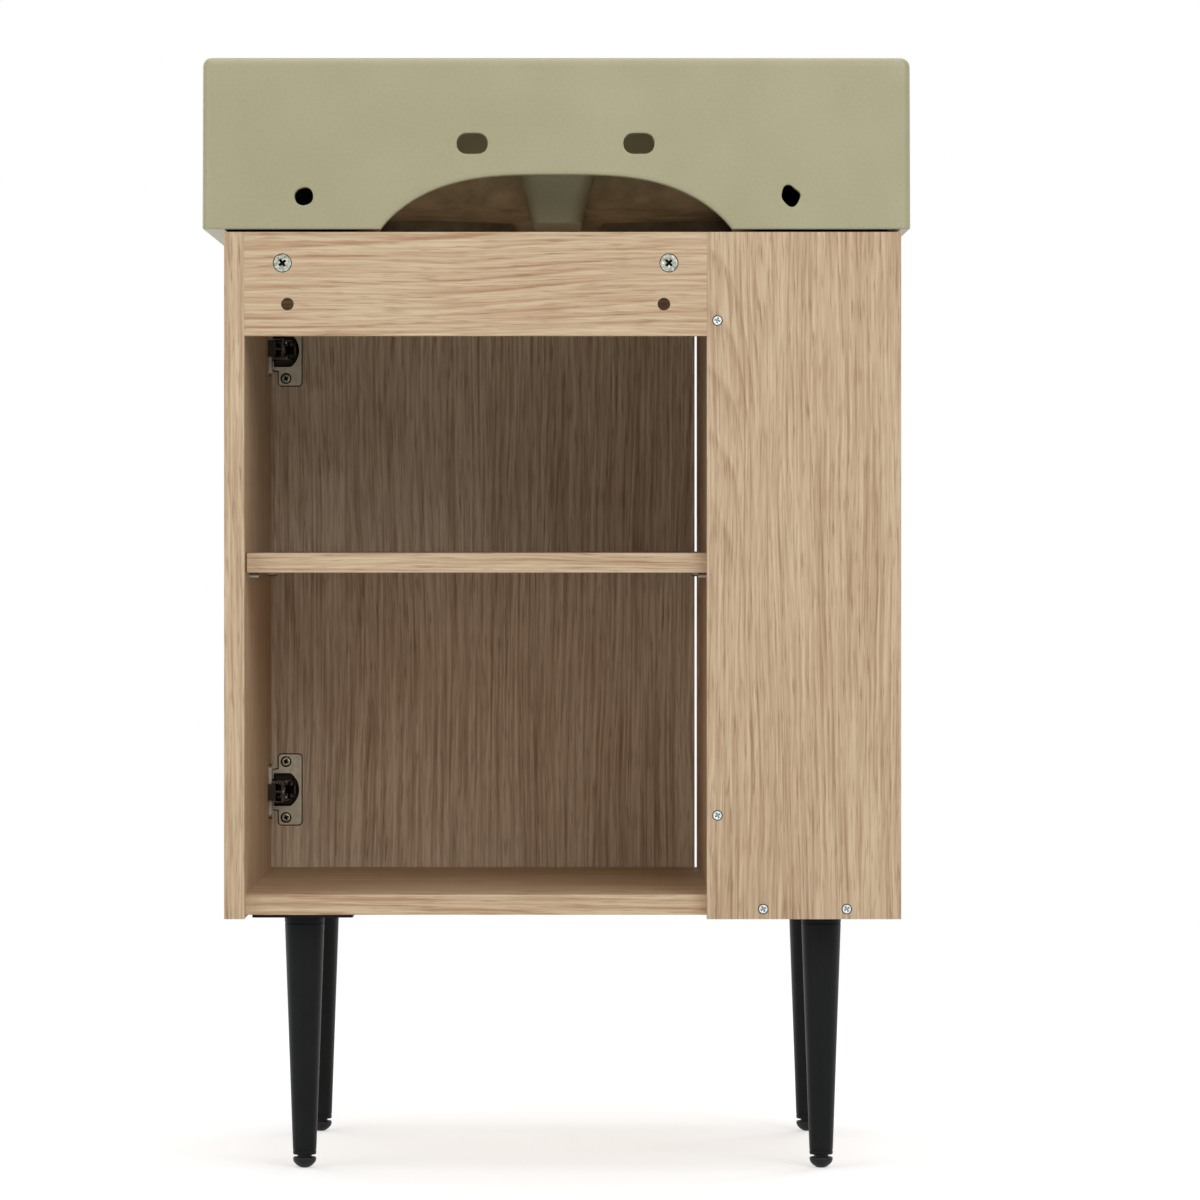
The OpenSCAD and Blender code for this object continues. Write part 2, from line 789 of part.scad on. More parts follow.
// Overflow channel down the rear of the bowl, from under the deck to the
// side of the drain hole
module channel_form(grow) {
    low_z = bowl_floor_z - bowl_wall - channel_low;
    hull() {
        translate([-channel_w_top / 2 - grow, bowl_y1 - bowl_slope,
                   channel_top_z - 1])
            cube([channel_w_top + 2 * grow,
                  bowl_slope + channel_out_top + grow, 1 + grow]);
        translate([-channel_w_low / 2 - grow, bowl_y + channel_end - grow,
                   low_z - grow])
            cube([channel_w_low + 2 * grow,
                  drain_hole_d / 2 + 2 * grow, 1]);
        translate([-channel_w_low / 2 - grow, bowl_y1 - 2 * bowl_slope,
                   low_z + channel_rise - grow])
            cube([channel_w_low + 2 * grow,
                  2 * bowl_slope - channel_in_low + grow, 1]);
    }
}

// Boss under the bowl round the drain hole, with a hollow fillet above it
module drain_boss() {
    translate([0, bowl_y, bowl_floor_z - bowl_wall])
        rotate_extrude()
            difference() {
                translate([0, -drain_boss_h])
                    square([drain_boss_r + boss_fillet_r,
                            drain_boss_h + bowl_wall]);
                translate([drain_boss_r, -drain_boss_h - 1])
                    square([boss_fillet_r + 1,
                            drain_boss_h + 1 - boss_fillet_r]);
                translate([drain_boss_r + boss_fillet_r, -boss_fillet_r])
                    circle(r = boss_fillet_r);
            }
}

// Outer block with its edges rounded from all three directions
module basin_block() {
    mid_y = (basin_y0 + rear_y) / 2;
    mid_z = (basin_z0 + basin_z1) / 2;
    translate([0, mid_y, mid_z])
        intersection() {
            linear_extrude(height = basin_h, center = true)
                round_rect(basin_w, basin_d, basin_edge_r);
            rotate([90, 0, 0])
                linear_extrude(height = basin_d, center = true)
                    round_rect(basin_w, basin_h, basin_edge_r);
            rotate([90, 0, 90])
                linear_extrude(height = basin_w, center = true)
                    round_rect(basin_d, basin_h, basin_edge_r);
        }
}

// Arch in the rear wall: a flattened half oval
module arch_cut() {
    translate([0, rear_y + 1, basin_z0])
        rotate([90, 0, 0])
            linear_extrude(height = basin_wall + 2)
                polygon(concat(
                    [[-arch_half_w, -1]],
                    [for (i = [0:arch_steps])
                        let (u = -cos(180 * i / arch_steps))
                        [u * arch_half_w,
                         arch_h * pow(1 - pow(abs(u), arch_power),
                                      arch_round)]],
                    [[arch_half_w, -1]]));
}

module basin() {
    hollow_x = basin_w / 2 - basin_wall;
    color(sage)
        difference() {
            union() {
                difference() {
                    basin_block();
                    // the open underside, above the foot flange
                    board([-hollow_x, basin_y0 + basin_wall,
                           basin_z0 + foot_flange_t],
                          [hollow_x, rear_y - basin_wall,
                           basin_z1 - deck_t]);
                    board([-basin_w / 2 + foot_flange_w,
                           basin_y0 + foot_flange_w, basin_z0 - 1],
                          [basin_w / 2 - foot_flange_w,
                           rear_y - basin_wall, basin_z0 + foot_flange_t + 1]);
                }
                intersection() {
                    union() {
                        bowl_form(bowl_wall);
                        channel_form(channel_wall);
                        drain_boss();
                        // two ribs tie the bowl to the rear wall
                        for (sx = [-1, 1])
                            translate([sx * rib_x - rib_t / 2,
                                       bowl_y1 - bowl_slope,
                                       basin_z1 - deck_t - rib_h])
                                cube([rib_t,
                                      rear_y - bowl_y1 + bowl_slope
                                      - basin_wall / 2,
                                      rib_h + deck_t / 2]);
                    }
                    board([-basin_w / 2 + 1, basin_y0 + 1, basin_z0 - 1],
                          [basin_w / 2 - 1, rear_y - 1, basin_z1 - 1]);
                }
            }
            bowl_form(0);
            bowl_lip();
            difference() {
                channel_form(0);
                bowl_form(bowl_wall);
            }
            translate([0, bowl_y, basin_z0 - 1])
                cylinder(r = drain_hole_d / 2, h = bowl_depth);
            translate([0, bowl_y1 - bowl_slope - 10, overflow_z])
                rotate([-90, 0, 0])
                    cylinder(r = overflow_d / 2, h = bowl_slope + 20);
            translate([0, tap_y, basin_z1 - deck_t - 1])
                cylinder(r = tap_hole_d / 2, h = deck_t + 2);
            arch_cut();
            for (x = slot_x)
                translate([x, rear_y + 1, slot_z])
                    rotate([90, 0, 0])
                        linear_extrude(height = basin_wall + 2)
                            round_rect(slot_w, slot_h, slot_r);
            for (x = basin_fix_x)
                translate([x, rear_y + 1, basin_fix_z])
                    rotate([90, 0, 0])
                        cylinder(r = basin_fix_d / 2, h = basin_wall + 2);
        }
}

// Puts a child at each hinge, in the hinge's own frame
module at_hinge(i) {
    translate([side_x, front_y, hinge_z[i]])
        children();
}

module door() {
    color(oak)
        difference() {
            board([door_x0, door_y0, door_z0], [door_x1, door_y1, door_z1]);
            for (i = [0, 1])
                at_hinge(i) {
                    translate([cup_x, -door_gap - cup_depth, 0])
                        rotate([-90, 0, 0])
                            cylinder(r = cup_d / 2, h = cup_depth + 1);
                    for (s = [-1, 1])
                        translate([cup_screw_x, -door_gap - 11,
                                   s * cup_screw_pitch / 2])
                            rotate([-90, 0, 0])
                                cylinder(r = hinge_screw_r, h = 12);
                }
            translate([knob_x, door_y0 - 1, knob_z])
                rotate([-90, 0, 0])
                    cylinder(r = knob_screw_r, h = board_t + 2);
        }
}

module door_knob() {
    neck_r = knob_d * 0.25;
    face_r = knob_d / 2;
    color(black)
        translate([knob_x, door_y0, knob_z])
            rotate([90, 0, 0])
                difference() {
                    rotate_extrude()
                        union() {
                            polygon([[0, 0], [neck_r + 2, 0], [neck_r + 2, 2],
                                     [neck_r, 4], [neck_r, knob_l * 0.5],
                                     [face_r - 2, knob_l - 6],
                                     [face_r, knob_l - 4],
                                     [face_r, knob_l - 2],
                                     [face_r - 2, knob_l], [0, knob_l]]);
                            translate([face_r - 2, knob_l - 2])
                                circle(r = 2);
                        }
                    translate([0, 0, -1])
                        cylinder(r = knob_screw_r, h = knob_screw_grip + 1);
                }
}

module knob_screw() {
    color(zinc)
        translate([knob_x, door_y1, knob_z])
            rotate([-90, 0, 0])
                pan_screw(board_t + knob_screw_grip - 1, knob_screw_r, 4.5,
                          min(door_gap, 2) * 0.95);
}

module door_bumpers() {
    color(clear_grey)
        for (z = [bottom_z0 + board_t / 2, door_z1 - bumper_in])
            translate([door_x0 + bumper_in, door_y1, z])
                rotate([-90, 0, 0])
                    cylinder(r1 = bumper_r, r2 = bumper_r - 1, h = door_gap);
}

// Mounting plate: a cross on the side panel with a raised rib for the arm
module hinge_plate() {
    color(nickel)
        difference() {
            union() {
                translate([-plate_t, plate_screw_y, 0])
                    rotate([0, 90, 0])
                        linear_extrude(height = plate_t)
                            round_rect(plate_wing_h, plate_wing_w, 4);
                translate([-plate_body_x, plate_body_y[0],
                           -plate_body_h / 2])
                    cube([plate_body_x, plate_body_y[1] - plate_body_y[0],
                          plate_body_h]);
            }
            for (s = [-1, 1])
                translate([-plate_t, plate_screw_y,
                           s * plate_screw_pitch / 2])
                    rotate([0, -90, 0])
                        sunk_hole(plate_t + 1, hinge_screw_r,
                                  hinge_head_r, hinge_head_h);
            translate([1, arm_screw_y[1], 0])
                rotate([0, -90, 0])
                    cylinder(r = arm_screw_r, h = plate_body_x + 2);
        }
}

module hinge_plate_screws() {
    color(nickel)
        for (i = [0, 1], s = [-1, 1])
            at_hinge(i)
                translate([-plate_t, plate_screw_y,
                           s * plate_screw_pitch / 2])
                    rotate([0, -90, 0])
                        sunk_screw(plate_t + board_t - 5, hinge_screw_r,
                                   hinge_head_r, hinge_head_h);
}

// One cheek of the arm, drawn in the plane of the linkage
module arm_cheek_outline() {
    translate([arm_web_x, arm_web_front_y])
        square([arm_cheek_x - arm_web_x, arm_rear_y - arm_web_front_y]);
    polygon([arm_pin_2 + [-inner_eye_r, 0],
             [arm_web_x, arm_web_front_y + 6],
             [arm_cheek_x, arm_web_front_y + 6],
             [arm_cheek_x, arm_web_front_y - 4],
             arm_pin_1 + [inner_eye_r, 0]]);
    round_bar(arm_pin_1, arm_pin_2, inner_eye_r);
}

module hinge_arm() {
    color(nickel)
        difference() {
            union() {
                for (s = [-1, 1])
                    translate([0, 0, s * (arm_h - arm_sheet) / 2])
                        linear_extrude(height = arm_sheet, center = true)
                            arm_cheek_outline();
                translate([arm_web_x, arm_web_front_y, -arm_h / 2])
                    cube([arm_sheet, arm_rear_y - arm_web_front_y, arm_h]);
            }
            for (p = [arm_pin_1, arm_pin_2])
                translate([p[0], p[1], -arm_h])
                    cylinder(r = hinge_pin_r, h = 2 * arm_h);
            for (y = arm_screw_y)
                translate([arm_web_x - 1, y, 0])
                    rotate([0, 90, 0])
                        cylinder(r = arm_screw_r, h = arm_sheet + 2);
        }
}

// Pins riveted in the arm: a stub at each cheek for the outer link, and one
// through pin for the inner link
module arm_pins() {
    stub = arm_h / 2 - cup_stub_in;
    color(zinc) {
        for (s = [-1, 1])
            translate([arm_pin_1[0], arm_pin_1[1],
                       s * (cup_stub_in + stub / 2)])
                cylinder(r = hinge_pin_r, h = stub, center = true);
        translate([arm_pin_2[0], arm_pin_2[1], 0])
            cylinder(r = hinge_pin_r, h = arm_h, center = true);
    }
}

// The adjusting screw rests on the plate, the fixing screw goes into it
module hinge_arm_screws() {
    seat = -plate_body_x - arm_web_x;
    color(zinc)
        for (i = [0, 1])
            at_hinge(i) {
                translate([arm_web_x, arm_screw_y[0], 0])
                    rotate([0, -90, 0])
                        pan_screw(seat, arm_screw_r,
                                  arm_screw_head_r, 1.4);
                translate([arm_web_x, arm_screw_y[1], 0])
                    rotate([0, -90, 0])
                        pan_screw(seat + plate_body_x - 1, arm_screw_r,
                                  arm_screw_head_r, 2);
            }
}

// Room inside the cup: wide under the arm, narrower between the shoulders
// that hold the pins
module pocket_outline() {
    intersection() {
        translate([cup_x, 0])
            circle(r = pocket_r);
        union() {
            translate([shoulder_x - cup_d, -pocket_h / 2])
                square([cup_d, pocket_h]);
            translate([shoulder_x - 1, -shoulder_h / 2])
                square([cup_d, shoulder_h]);
        }
    }
}

// Cup with its flange, seen along the door's thickness. Its outline is drawn
// in x and z, so that the plane is turned up from the drawing plane
module hinge_cup() {
    color(nickel)
        difference() {
            translate([0, -door_gap, 0])
                rotate([90, 0, 0]) {
                    translate([cup_x, 0, 0])
                        cylinder(r = cup_d / 2, h = cup_depth);
                    translate([cup_x, 0, -cup_flange_t])
                        cylinder(r = rim_r, h = cup_flange_t);
                    translate([(cup_x - flange_out + flange_in) / 2, 0,
                               -cup_flange_t])
                        linear_extrude(height = cup_flange_t)
                            round_rect(flange_in - cup_x + flange_out,
                                       cup_flange_h, flange_corner_r);
                }
            translate([0, -door_gap - cup_depth + cup_floor, 0])
                rotate([-90, 0, 0])
                    linear_extrude(height = cup_depth + 1)
                        pocket_outline();
            // shallow notch in the rim, where the open outer link lies
            translate([cup_x, -door_gap + cup_flange_t - rim_relief[1],
                       -rim_relief[2] / 2])
                cube([rim_relief[0], rim_relief[1] + 1, rim_relief[2]]);
            for (p = [cup_pin_1, cup_pin_2])
                translate([p[0], p[1], 0])
                    cylinder(r = hinge_pin_r, h = cup_pin_l(p),
                             center = true);
            for (s = [-1, 1])
                translate([cup_screw_x, -door_gap + cup_flange_t,
                           s * cup_screw_pitch / 2])
                    rotate([-90, 0, 0])
                        sunk_hole(cup_flange_t + 1, hinge_screw_r,
                                  hinge_head_r - 0.6, cup_flange_t - 0.1);
        }
}

// A cup pin ends inside the round wall of the cup
function cup_pin_l(p) =
    2 * (sqrt(pow(cup_d / 2, 2) - pow(p[0] + hinge_pin_r - cup_x, 2))
         - cup_pin_end);

module cup_pins() {
    l1 = cup_pin_l(cup_pin_1);
    color(zinc) {
        for (s = [-1, 1])
            translate([cup_pin_1[0], cup_pin_1[1],
                       s * (cup_stub_in + l1 / 2) / 2])
                cylinder(r = hinge_pin_r, h = l1 / 2 - cup_stub_in,
                         center = true);
        translate([cup_pin_2[0], cup_pin_2[1], 0])
            cylinder(r = hinge_pin_r, h = cup_pin_l(cup_pin_2),
                     center = true);
    }
}

module hinge_cup_screws() {
    color(nickel)
        for (i = [0, 1], s = [-1, 1])
            at_hinge(i)
                translate([cup_screw_x, -door_gap + cup_flange_t,
                           s * cup_screw_pitch / 2])
                    rotate([-90, 0, 0])
                        sunk_screw(cup_flange_t + 10, hinge_screw_r,
                                   hinge_head_r - 0.6, cup_flange_t - 0.1);
}

// Outer link: two cheeks inside the arm's, joined by a web at their back
module outer_link() {
    cheek_z = outer_cheek_top - outer_sheet / 2;
    color(nickel)
        difference() {
            union() {
                for (s = [-1, 1])
                    translate([0, 0, s * cheek_z])
                        linear_extrude(height = outer_sheet, center = true) {
                            round_bar(arm_pin_1, outer_knee, outer_bar_r);
                            round_bar(outer_knee, cup_pin_1, outer_bar_r);
                            round_bar(arm_pin_1, web_far, 1);
                            for (p = [arm_pin_1, cup_pin_1])
                                translate(p)
                                    circle(r = outer_eye_r);
                        }
                linear_extrude(height = 2 * cheek_z, center = true)
                    round_bar(web_far, web_near, web_t / 2);
            }
            for (p = [arm_pin_1, cup_pin_1])
                translate([p[0], p[1], -arm_h])
                    cylinder(r = hinge_pin_r + pin_play, h = 2 * arm_h);
        }
}

// Inner link: exact at the cup's pin, with a slotted eye over the arm's pin
module inner_link() {
    away = (arm_pin_2 - cup_pin_2) / norm(arm_pin_2 - cup_pin_2);
    slot_end = arm_pin_2 + away * inner_slot_travel;
    color(nickel)
        difference() {
            linear_extrude(height = inner_h, center = true) {
                round_bar(cup_pin_2, inner_knee, inner_bar_r);
                round_bar(inner_knee, arm_pin_2, inner_bar_r);
                round_bar(arm_pin_2, slot_end, inner_eye_r);
                translate(cup_pin_2)
                    circle(r = inner_eye_r);
            }
            translate([cup_pin_2[0], cup_pin_2[1], -inner_h])
                cylinder(r = hinge_pin_r + pin_play, h = 2 * inner_h);
            linear_extrude(height = 2 * inner_h, center = true)
                round_bar(arm_pin_2, slot_end,
                          hinge_pin_r + inner_slot_play);
        }
}

// Point i on a coil's middle line, and the two directions across the wire
function coil_point(i) =
    let (a = 360 * i / spring_rings)
    [spring_r * cos(a), spring_r * sin(a), spring_pitch * i / spring_rings];

function coil_ring(i) =
    let (a = 360 * i / spring_rings,
         out = [cos(a), sin(a), 0],
         run = [-sin(a) * 2 * PI * spring_r, cos(a) * 2 * PI * spring_r,
                spring_pitch],
         up = cross(run, out) / norm(cross(run, out)))
    [for (k = [0:spring_sides - 1])
        coil_point(i) - spring_wire_r * cos(360 * k / spring_sides) * out
        + spring_wire_r * sin(360 * k / spring_sides) * up];

// Least gap between one turn and the next
coil_last = spring_turns * spring_rings;
coil_gap = min([for (i = [0:coil_last], j = [i + spring_rings / 2:coil_last])
    norm(coil_point(i) - coil_point(j))]) - 2 * spring_wire_r;
echo(coil_gap = coil_gap);

// One coil as a single unbroken tube
module coil() {
    last = coil_last;
    points = [for (i = [0:last]) each coil_ring(i)];
    n = spring_sides;
    polyhedron(points, concat(
        [[for (k = [0:n - 1]) k]],
        [for (i = [0:last - 1], k = [0:n - 1])
            [i * n + k, (i + 1) * n + k, (i + 1) * n + (k + 1) % n]],
        [for (i = [0:last - 1], k = [0:n - 1])
            [i * n + k, (i + 1) * n + (k + 1) % n, i * n + (k + 1) % n]],
        [[for (k = [n - 1:-1:0]) last * n + k]]
    ));
}

// A coil each side of the inner link, round the arm's through pin
module link_springs() {
    color(zinc)
        for (s = [-1, 1])
            translate([arm_pin_2[0], arm_pin_2[1], 0])
                rotate([s > 0 ? 0 : 180, 0, 0])
                    translate([0, 0, inner_h / 2 + spring_wire_r + 0.1])
                        coil();
}

module plate_screw_places() {
    at = leg_plate_w / 2 - plate_screw_in;
    for (sx = [-1, 1], sy = [-1, 1])
        translate([sx * at, sy * at, 0])
            children();
}

module leg_plate(ix, iy) {
    color(black)
        translate([leg_x[ix], leg_y[iy], cab_z0])
            difference() {
                linear_extrude(height = leg_plate_t)
                    round_rect(leg_plate_w, leg_plate_w, 4);
                translate([0, 0, -1])
                    cylinder(r = leg_stud_r, h = leg_plate_t + 2);
                plate_screw_places()
                    rotate([180, 0, 0])
                        sunk_hole(leg_plate_t + 1, wood_screw_r,
                                  wood_head_r - 0.5, leg_plate_t - 0.3);
            }
}

module leg_plate_screws() {
    color(black)
        for (x = leg_x, y = leg_y)
            translate([x, y, cab_z0])
                plate_screw_places()
                    rotate([180, 0, 0])
                        sunk_screw(plate_screw_l - 0.5, wood_screw_r,
                                   wood_head_r - 0.5, leg_plate_t - 0.3);
}

// Radius of the leg's taper at a height
function leg_r(z) = leg_foot_d / 2
    + (leg_top_d - leg_foot_d) / 2 * (z - leg_z0) / (cab_z0 - leg_z0);

// Tapered tube with a stud in its top and a threaded plug in its foot
module leg(ix, iy) {
    hollow_z0 = leg_z0 + leg_plug_l;
    hollow_z1 = cab_z0 - leg_cap_t;
    color(black)
        translate([leg_x[ix], leg_y[iy], 0])
            difference() {
                rotate_extrude()
                    polygon([[0, leg_z0], [leg_r(leg_z0) - 0.6, leg_z0],
                             [leg_r(leg_z0 + 0.6), leg_z0 + 0.6],
                             [leg_r(cab_z0 - 1), cab_z0 - 1],
                             [leg_r(cab_z0) - 0.6, cab_z0],
                             [leg_stud_r, cab_z0],
                             [leg_stud_r, bottom_z0 + leg_stud_l - 1.5],
                             [leg_stud_r - 1, bottom_z0 + leg_stud_l - 0.5],
                             [0, bottom_z0 + leg_stud_l - 0.5]]);
                rotate_extrude()
                    polygon([[0, hollow_z0],
                             [leg_r(hollow_z0) - leg_wall, hollow_z0],
                             [leg_r(hollow_z1) - leg_wall, hollow_z1],
                             [0, hollow_z1]]);
                translate([0, 0, leg_z0 - 1])
                    cylinder(r = foot_thread_r + foot_play,
                             h = leg_plug_l + 2);
                translate([0, 0, leg_z0 - 1])
                    cylinder(r = foot_collar_r + 0.2,
                             h = foot_counterbore + 1);
            }
}

// Levelling foot: a domed pad, a collar and the thread that enters the leg
module foot(ix, iy) {
    color(black)
        translate([leg_x[ix], leg_y[iy], 0])
            rotate_extrude() {
                intersection() {
                    translate([0, foot_h / 2])
                        round_rect(leg_foot_d, foot_h, foot_edge_r);
                    square([leg_foot_d, foot_h]);
                }
                polygon([[0, foot_h / 2], [foot_collar_r, foot_h / 2],
                         [foot_collar_r, leg_z0 + 0.5],
                         [foot_thread_r, leg_z0 + 0.5],
                         [foot_thread_r, leg_z0 + foot_thread_l - 1],
                         [foot_thread_r - 1, leg_z0 + foot_thread_l],
                         [0, leg_z0 + foot_thread_l]]);
            }
}

basin();
side_panel();
divider_panel();
bottom_panel();
back_panel();
front_panel();
rear_rail();
front_rail();
column_top_board();
inner_shelf();
column_shelf(column_shelf_z[1]);  // column_shelf_upper
column_shelf(column_shelf_z[0]);  // column_shelf_lower
shelf_pins();
cam_locks();
cam_bolts();
dowels();
back_panel_screws();
door();
door_knob();
knob_screw();
door_bumpers();
at_hinge(1) hinge_plate();  // upper_hinge_plate
at_hinge(1) hinge_arm();  // upper_hinge_arm
at_hinge(1) arm_pins();  // upper_arm_pins
at_hinge(1) hinge_cup();  // upper_hinge_cup
at_hinge(1) cup_pins();  // upper_cup_pins
at_hinge(1) outer_link();  // upper_outer_link
at_hinge(1) inner_link();  // upper_inner_link
at_hinge(1) link_springs();  // upper_link_springs
at_hinge(0) hinge_plate();  // lower_hinge_plate
at_hinge(0) hinge_arm();  // lower_hinge_arm
at_hinge(0) arm_pins();  // lower_arm_pins
at_hinge(0) hinge_cup();  // lower_hinge_cup
at_hinge(0) cup_pins();  // lower_cup_pins
at_hinge(0) outer_link();  // lower_outer_link
at_hinge(0) inner_link();  // lower_inner_link
at_hinge(0) link_springs();  // lower_link_springs
hinge_plate_screws();
hinge_arm_screws();
hinge_cup_screws();
leg_plate(0, 1);  // leg_plate_rear_right
leg_plate(1, 1);  // leg_plate_rear_left
leg_plate(0, 0);  // leg_plate_front_right
leg_plate(1, 0);  // leg_plate_front_left
leg_plate_screws();
leg(0, 1);  // leg_rear_right
leg(1, 1);  // leg_rear_left
leg(0, 0);  // leg_front_right
leg(1, 0);  // leg_front_left
foot(0, 1);  // foot_rear_right
foot(1, 1);  // foot_rear_left
foot(0, 0);  // foot_front_right
foot(1, 0);  // foot_front_left
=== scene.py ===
"""Vanity unit seen from behind: a sage ceramic basin on an oak-board cabinet
with one door on cup hinges, an open shelf column and four black metal legs.

Laid out as an add-on and run as a script. Metres, Z up, the front faces -Y.
"""
import json
import math

import bmesh
import bpy
import numpy as np
from bpy.props import FloatProperty, FloatVectorProperty, IntProperty, PointerProperty
from bpy.types import Operator, Panel, PropertyGroup
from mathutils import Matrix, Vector


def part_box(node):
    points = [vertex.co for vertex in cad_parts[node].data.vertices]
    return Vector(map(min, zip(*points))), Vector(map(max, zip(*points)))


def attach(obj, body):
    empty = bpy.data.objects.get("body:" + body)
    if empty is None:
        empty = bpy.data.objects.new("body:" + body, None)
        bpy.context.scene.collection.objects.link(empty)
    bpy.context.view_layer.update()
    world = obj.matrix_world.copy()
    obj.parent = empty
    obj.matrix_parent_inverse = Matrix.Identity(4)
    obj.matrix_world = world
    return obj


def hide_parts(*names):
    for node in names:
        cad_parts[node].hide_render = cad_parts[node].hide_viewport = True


bl_info = {
    "name": "Vanity Unit",
    "version": (1, 0, 0),
    "blender": (4, 5, 0),
    "location": "View3D > Sidebar > Vanity",
    "description": "Dresses the packed vanity unit: boards, basin, hinges, legs and stage",
    "category": "Object",
}

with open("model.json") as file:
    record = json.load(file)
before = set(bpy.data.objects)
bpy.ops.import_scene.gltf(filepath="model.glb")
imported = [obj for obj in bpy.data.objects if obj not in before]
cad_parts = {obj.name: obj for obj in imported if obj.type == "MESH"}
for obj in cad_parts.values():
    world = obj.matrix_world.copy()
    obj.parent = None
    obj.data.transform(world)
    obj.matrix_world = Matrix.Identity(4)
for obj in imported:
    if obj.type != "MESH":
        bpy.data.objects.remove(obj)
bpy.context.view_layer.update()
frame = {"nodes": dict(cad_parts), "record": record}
BODY_OF = {
    name: body
    for body, names in frame["record"]["behaviour"]["bodies"].items()
    for name in names
}

# Boards: thickness axis and grain axis of each one, 0 for X, 1 for Y, 2 for Z
BOARDS = {
    "side_panel": (0, 2),
    "divider_panel": (0, 2),
    "back_panel": (1, 2),
    "front_panel": (1, 2),
    "door": (1, 2),
    "bottom_panel": (2, 0),
    "column_top_board": (2, 0),
    "inner_shelf": (2, 0),
    "column_shelf_upper": (2, 0),
    "column_shelf_lower": (2, 0),
    "rear_rail": (1, 0),
    "front_rail": (1, 0),
}
# Boards that show the streaky rail figure rather than the quiet panel figure
STREAKY = ("rear_rail", "front_rail", "bottom_panel")

# Place of the log's heart across a board, from its middle
HEART = {"door": 0.133, "back_panel": 0.075, "front_panel": -0.03, "side_panel": 0.05}

REAR_Y = 0.2335  # rear faces of the basin and the cabinet
SIDE_X = 0.2465  # inner face of the side panel
CABINET_Z1 = 0.745  # top of the cabinet
BASIN_Z1 = 0.883  # top of the basin
BASIN_Y = 0.006  # middle of the basin's outer walls
BOWL_Y = -0.0365  # middle of the bowl and its drain
REAR_WALL = 0.012  # thickness of the basin's rear wall
CROSS_DEPTH = 0.0025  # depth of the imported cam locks' driver cross

# The photograph: its size, focal length and vanishing point in pixels, and
# the camera's distance from the rear face, its height and its place in X
PHOTO_SIZE = 1200.0
PHOTO_FOCAL = 6215.0
VANISHING_POINT = (582.4, 535.7)
CAMERA_AWAY = 4.910
EYE_HEIGHT = 0.505
EYE_X = -0.0206


def grid_faces(rows, columns, close_rows=False):
    """Quads of a grid whose columns close: each corner, the next column, the
    one below that, and the one below the corner."""
    i = np.arange(rows if close_rows else rows - 1)
    i, j = np.meshgrid(i, np.arange(columns), indexing="ij")
    below = (i + 1) % rows
    right = (j + 1) % columns
    quads = np.stack(
        [i * columns + j, i * columns + right, below * columns + right, below * columns + j], -1
    )
    return quads.reshape(-1, 4)


def read(items, key, width=1, kind=float):
    """One value, or one row of values, for each of a mesh's items."""
    values = np.empty(len(items) * width, kind)
    items.foreach_get(key, values)
    return values.reshape(-1, width) if width > 1 else values


def finish_faces(mesh, kinds):
    """Gives each face of a mesh the finish of that number."""
    mesh.polygons.foreach_set("material_index", np.asarray(kinds, np.int32))


def linked(name, mesh):
    """An object for a mesh, in the scene."""
    made = bpy.data.objects.new(name, mesh)
    bpy.context.scene.collection.objects.link(made)
    return made


def new_object(name, points, faces, kinds=()):
    """A mesh object from whole arrays, with its faces turned outwards."""
    mesh = bpy.data.meshes.new(name)
    mesh.from_pydata(points.reshape(-1, 3), [], faces)
    if len(kinds):
        finish_faces(mesh, kinds)
    mesh.validate()
    work = bmesh.new()
    work.from_mesh(mesh)
    bmesh.ops.recalc_face_normals(work, faces=work.faces)
    if work.calc_volume(signed=True) < 0:
        bmesh.ops.reverse_faces(work, faces=work.faces)
    work.to_mesh(mesh)
    work.free()
    return linked(name, mesh)


def joined(name, parts, kinds=()):
    """One object from several stacks of rings, each closed at both ends.
    Kinds gives the finish of each band of faces and of the two ends."""
    points, faces, finish, start = [], [], [], 0
    for rings in parts:
        count, columns = rings.shape[:2]
        last = start + (count - 1) * columns
        points.append(rings.reshape(-1, 3))
        faces += (grid_faces(count, columns) + start).tolist()
        faces += [list(range(start, start + columns)), list(range(last, last + columns))]
        finish += np.repeat(kinds[:-2], columns).tolist() + list(kinds[-2:])
        start += count * columns
    return new_object(name, np.concatenate(points), faces, finish)


def loft(name, rings, close_rows=False):
    """Skin over rings of equal length, ends capped unless the rows close."""
    if close_rows:
        return new_object(name, rings, grid_faces(*rings.shape[:2], True).tolist())
    return joined(name, [rings])


def revolve(profile, middle, axis=2, sides=64):
    """Rings of a profile of (radius, height) pairs turned round an axis
    through middle: radius times cosine and sine across, height along."""
    profile = np.asarray(profile, float)
    turn = np.linspace(0, 2 * np.pi, sides, endpoint=False)
    across, along = profile[:, 0:1], np.repeat(profile[:, 1:2], sides, 1)
    rings = np.empty((len(profile), sides, 3))
    rings[..., (axis + 1) % 3] = across * np.cos(turn)
    rings[..., (axis + 2) % 3] = across * np.sin(turn)
    rings[..., axis] = along
    return rings + np.asarray(middle, float)


def arc(n, start, stop):
    """n angles in radians from start to stop degrees."""
    return np.radians(np.linspace(start, stop, n))


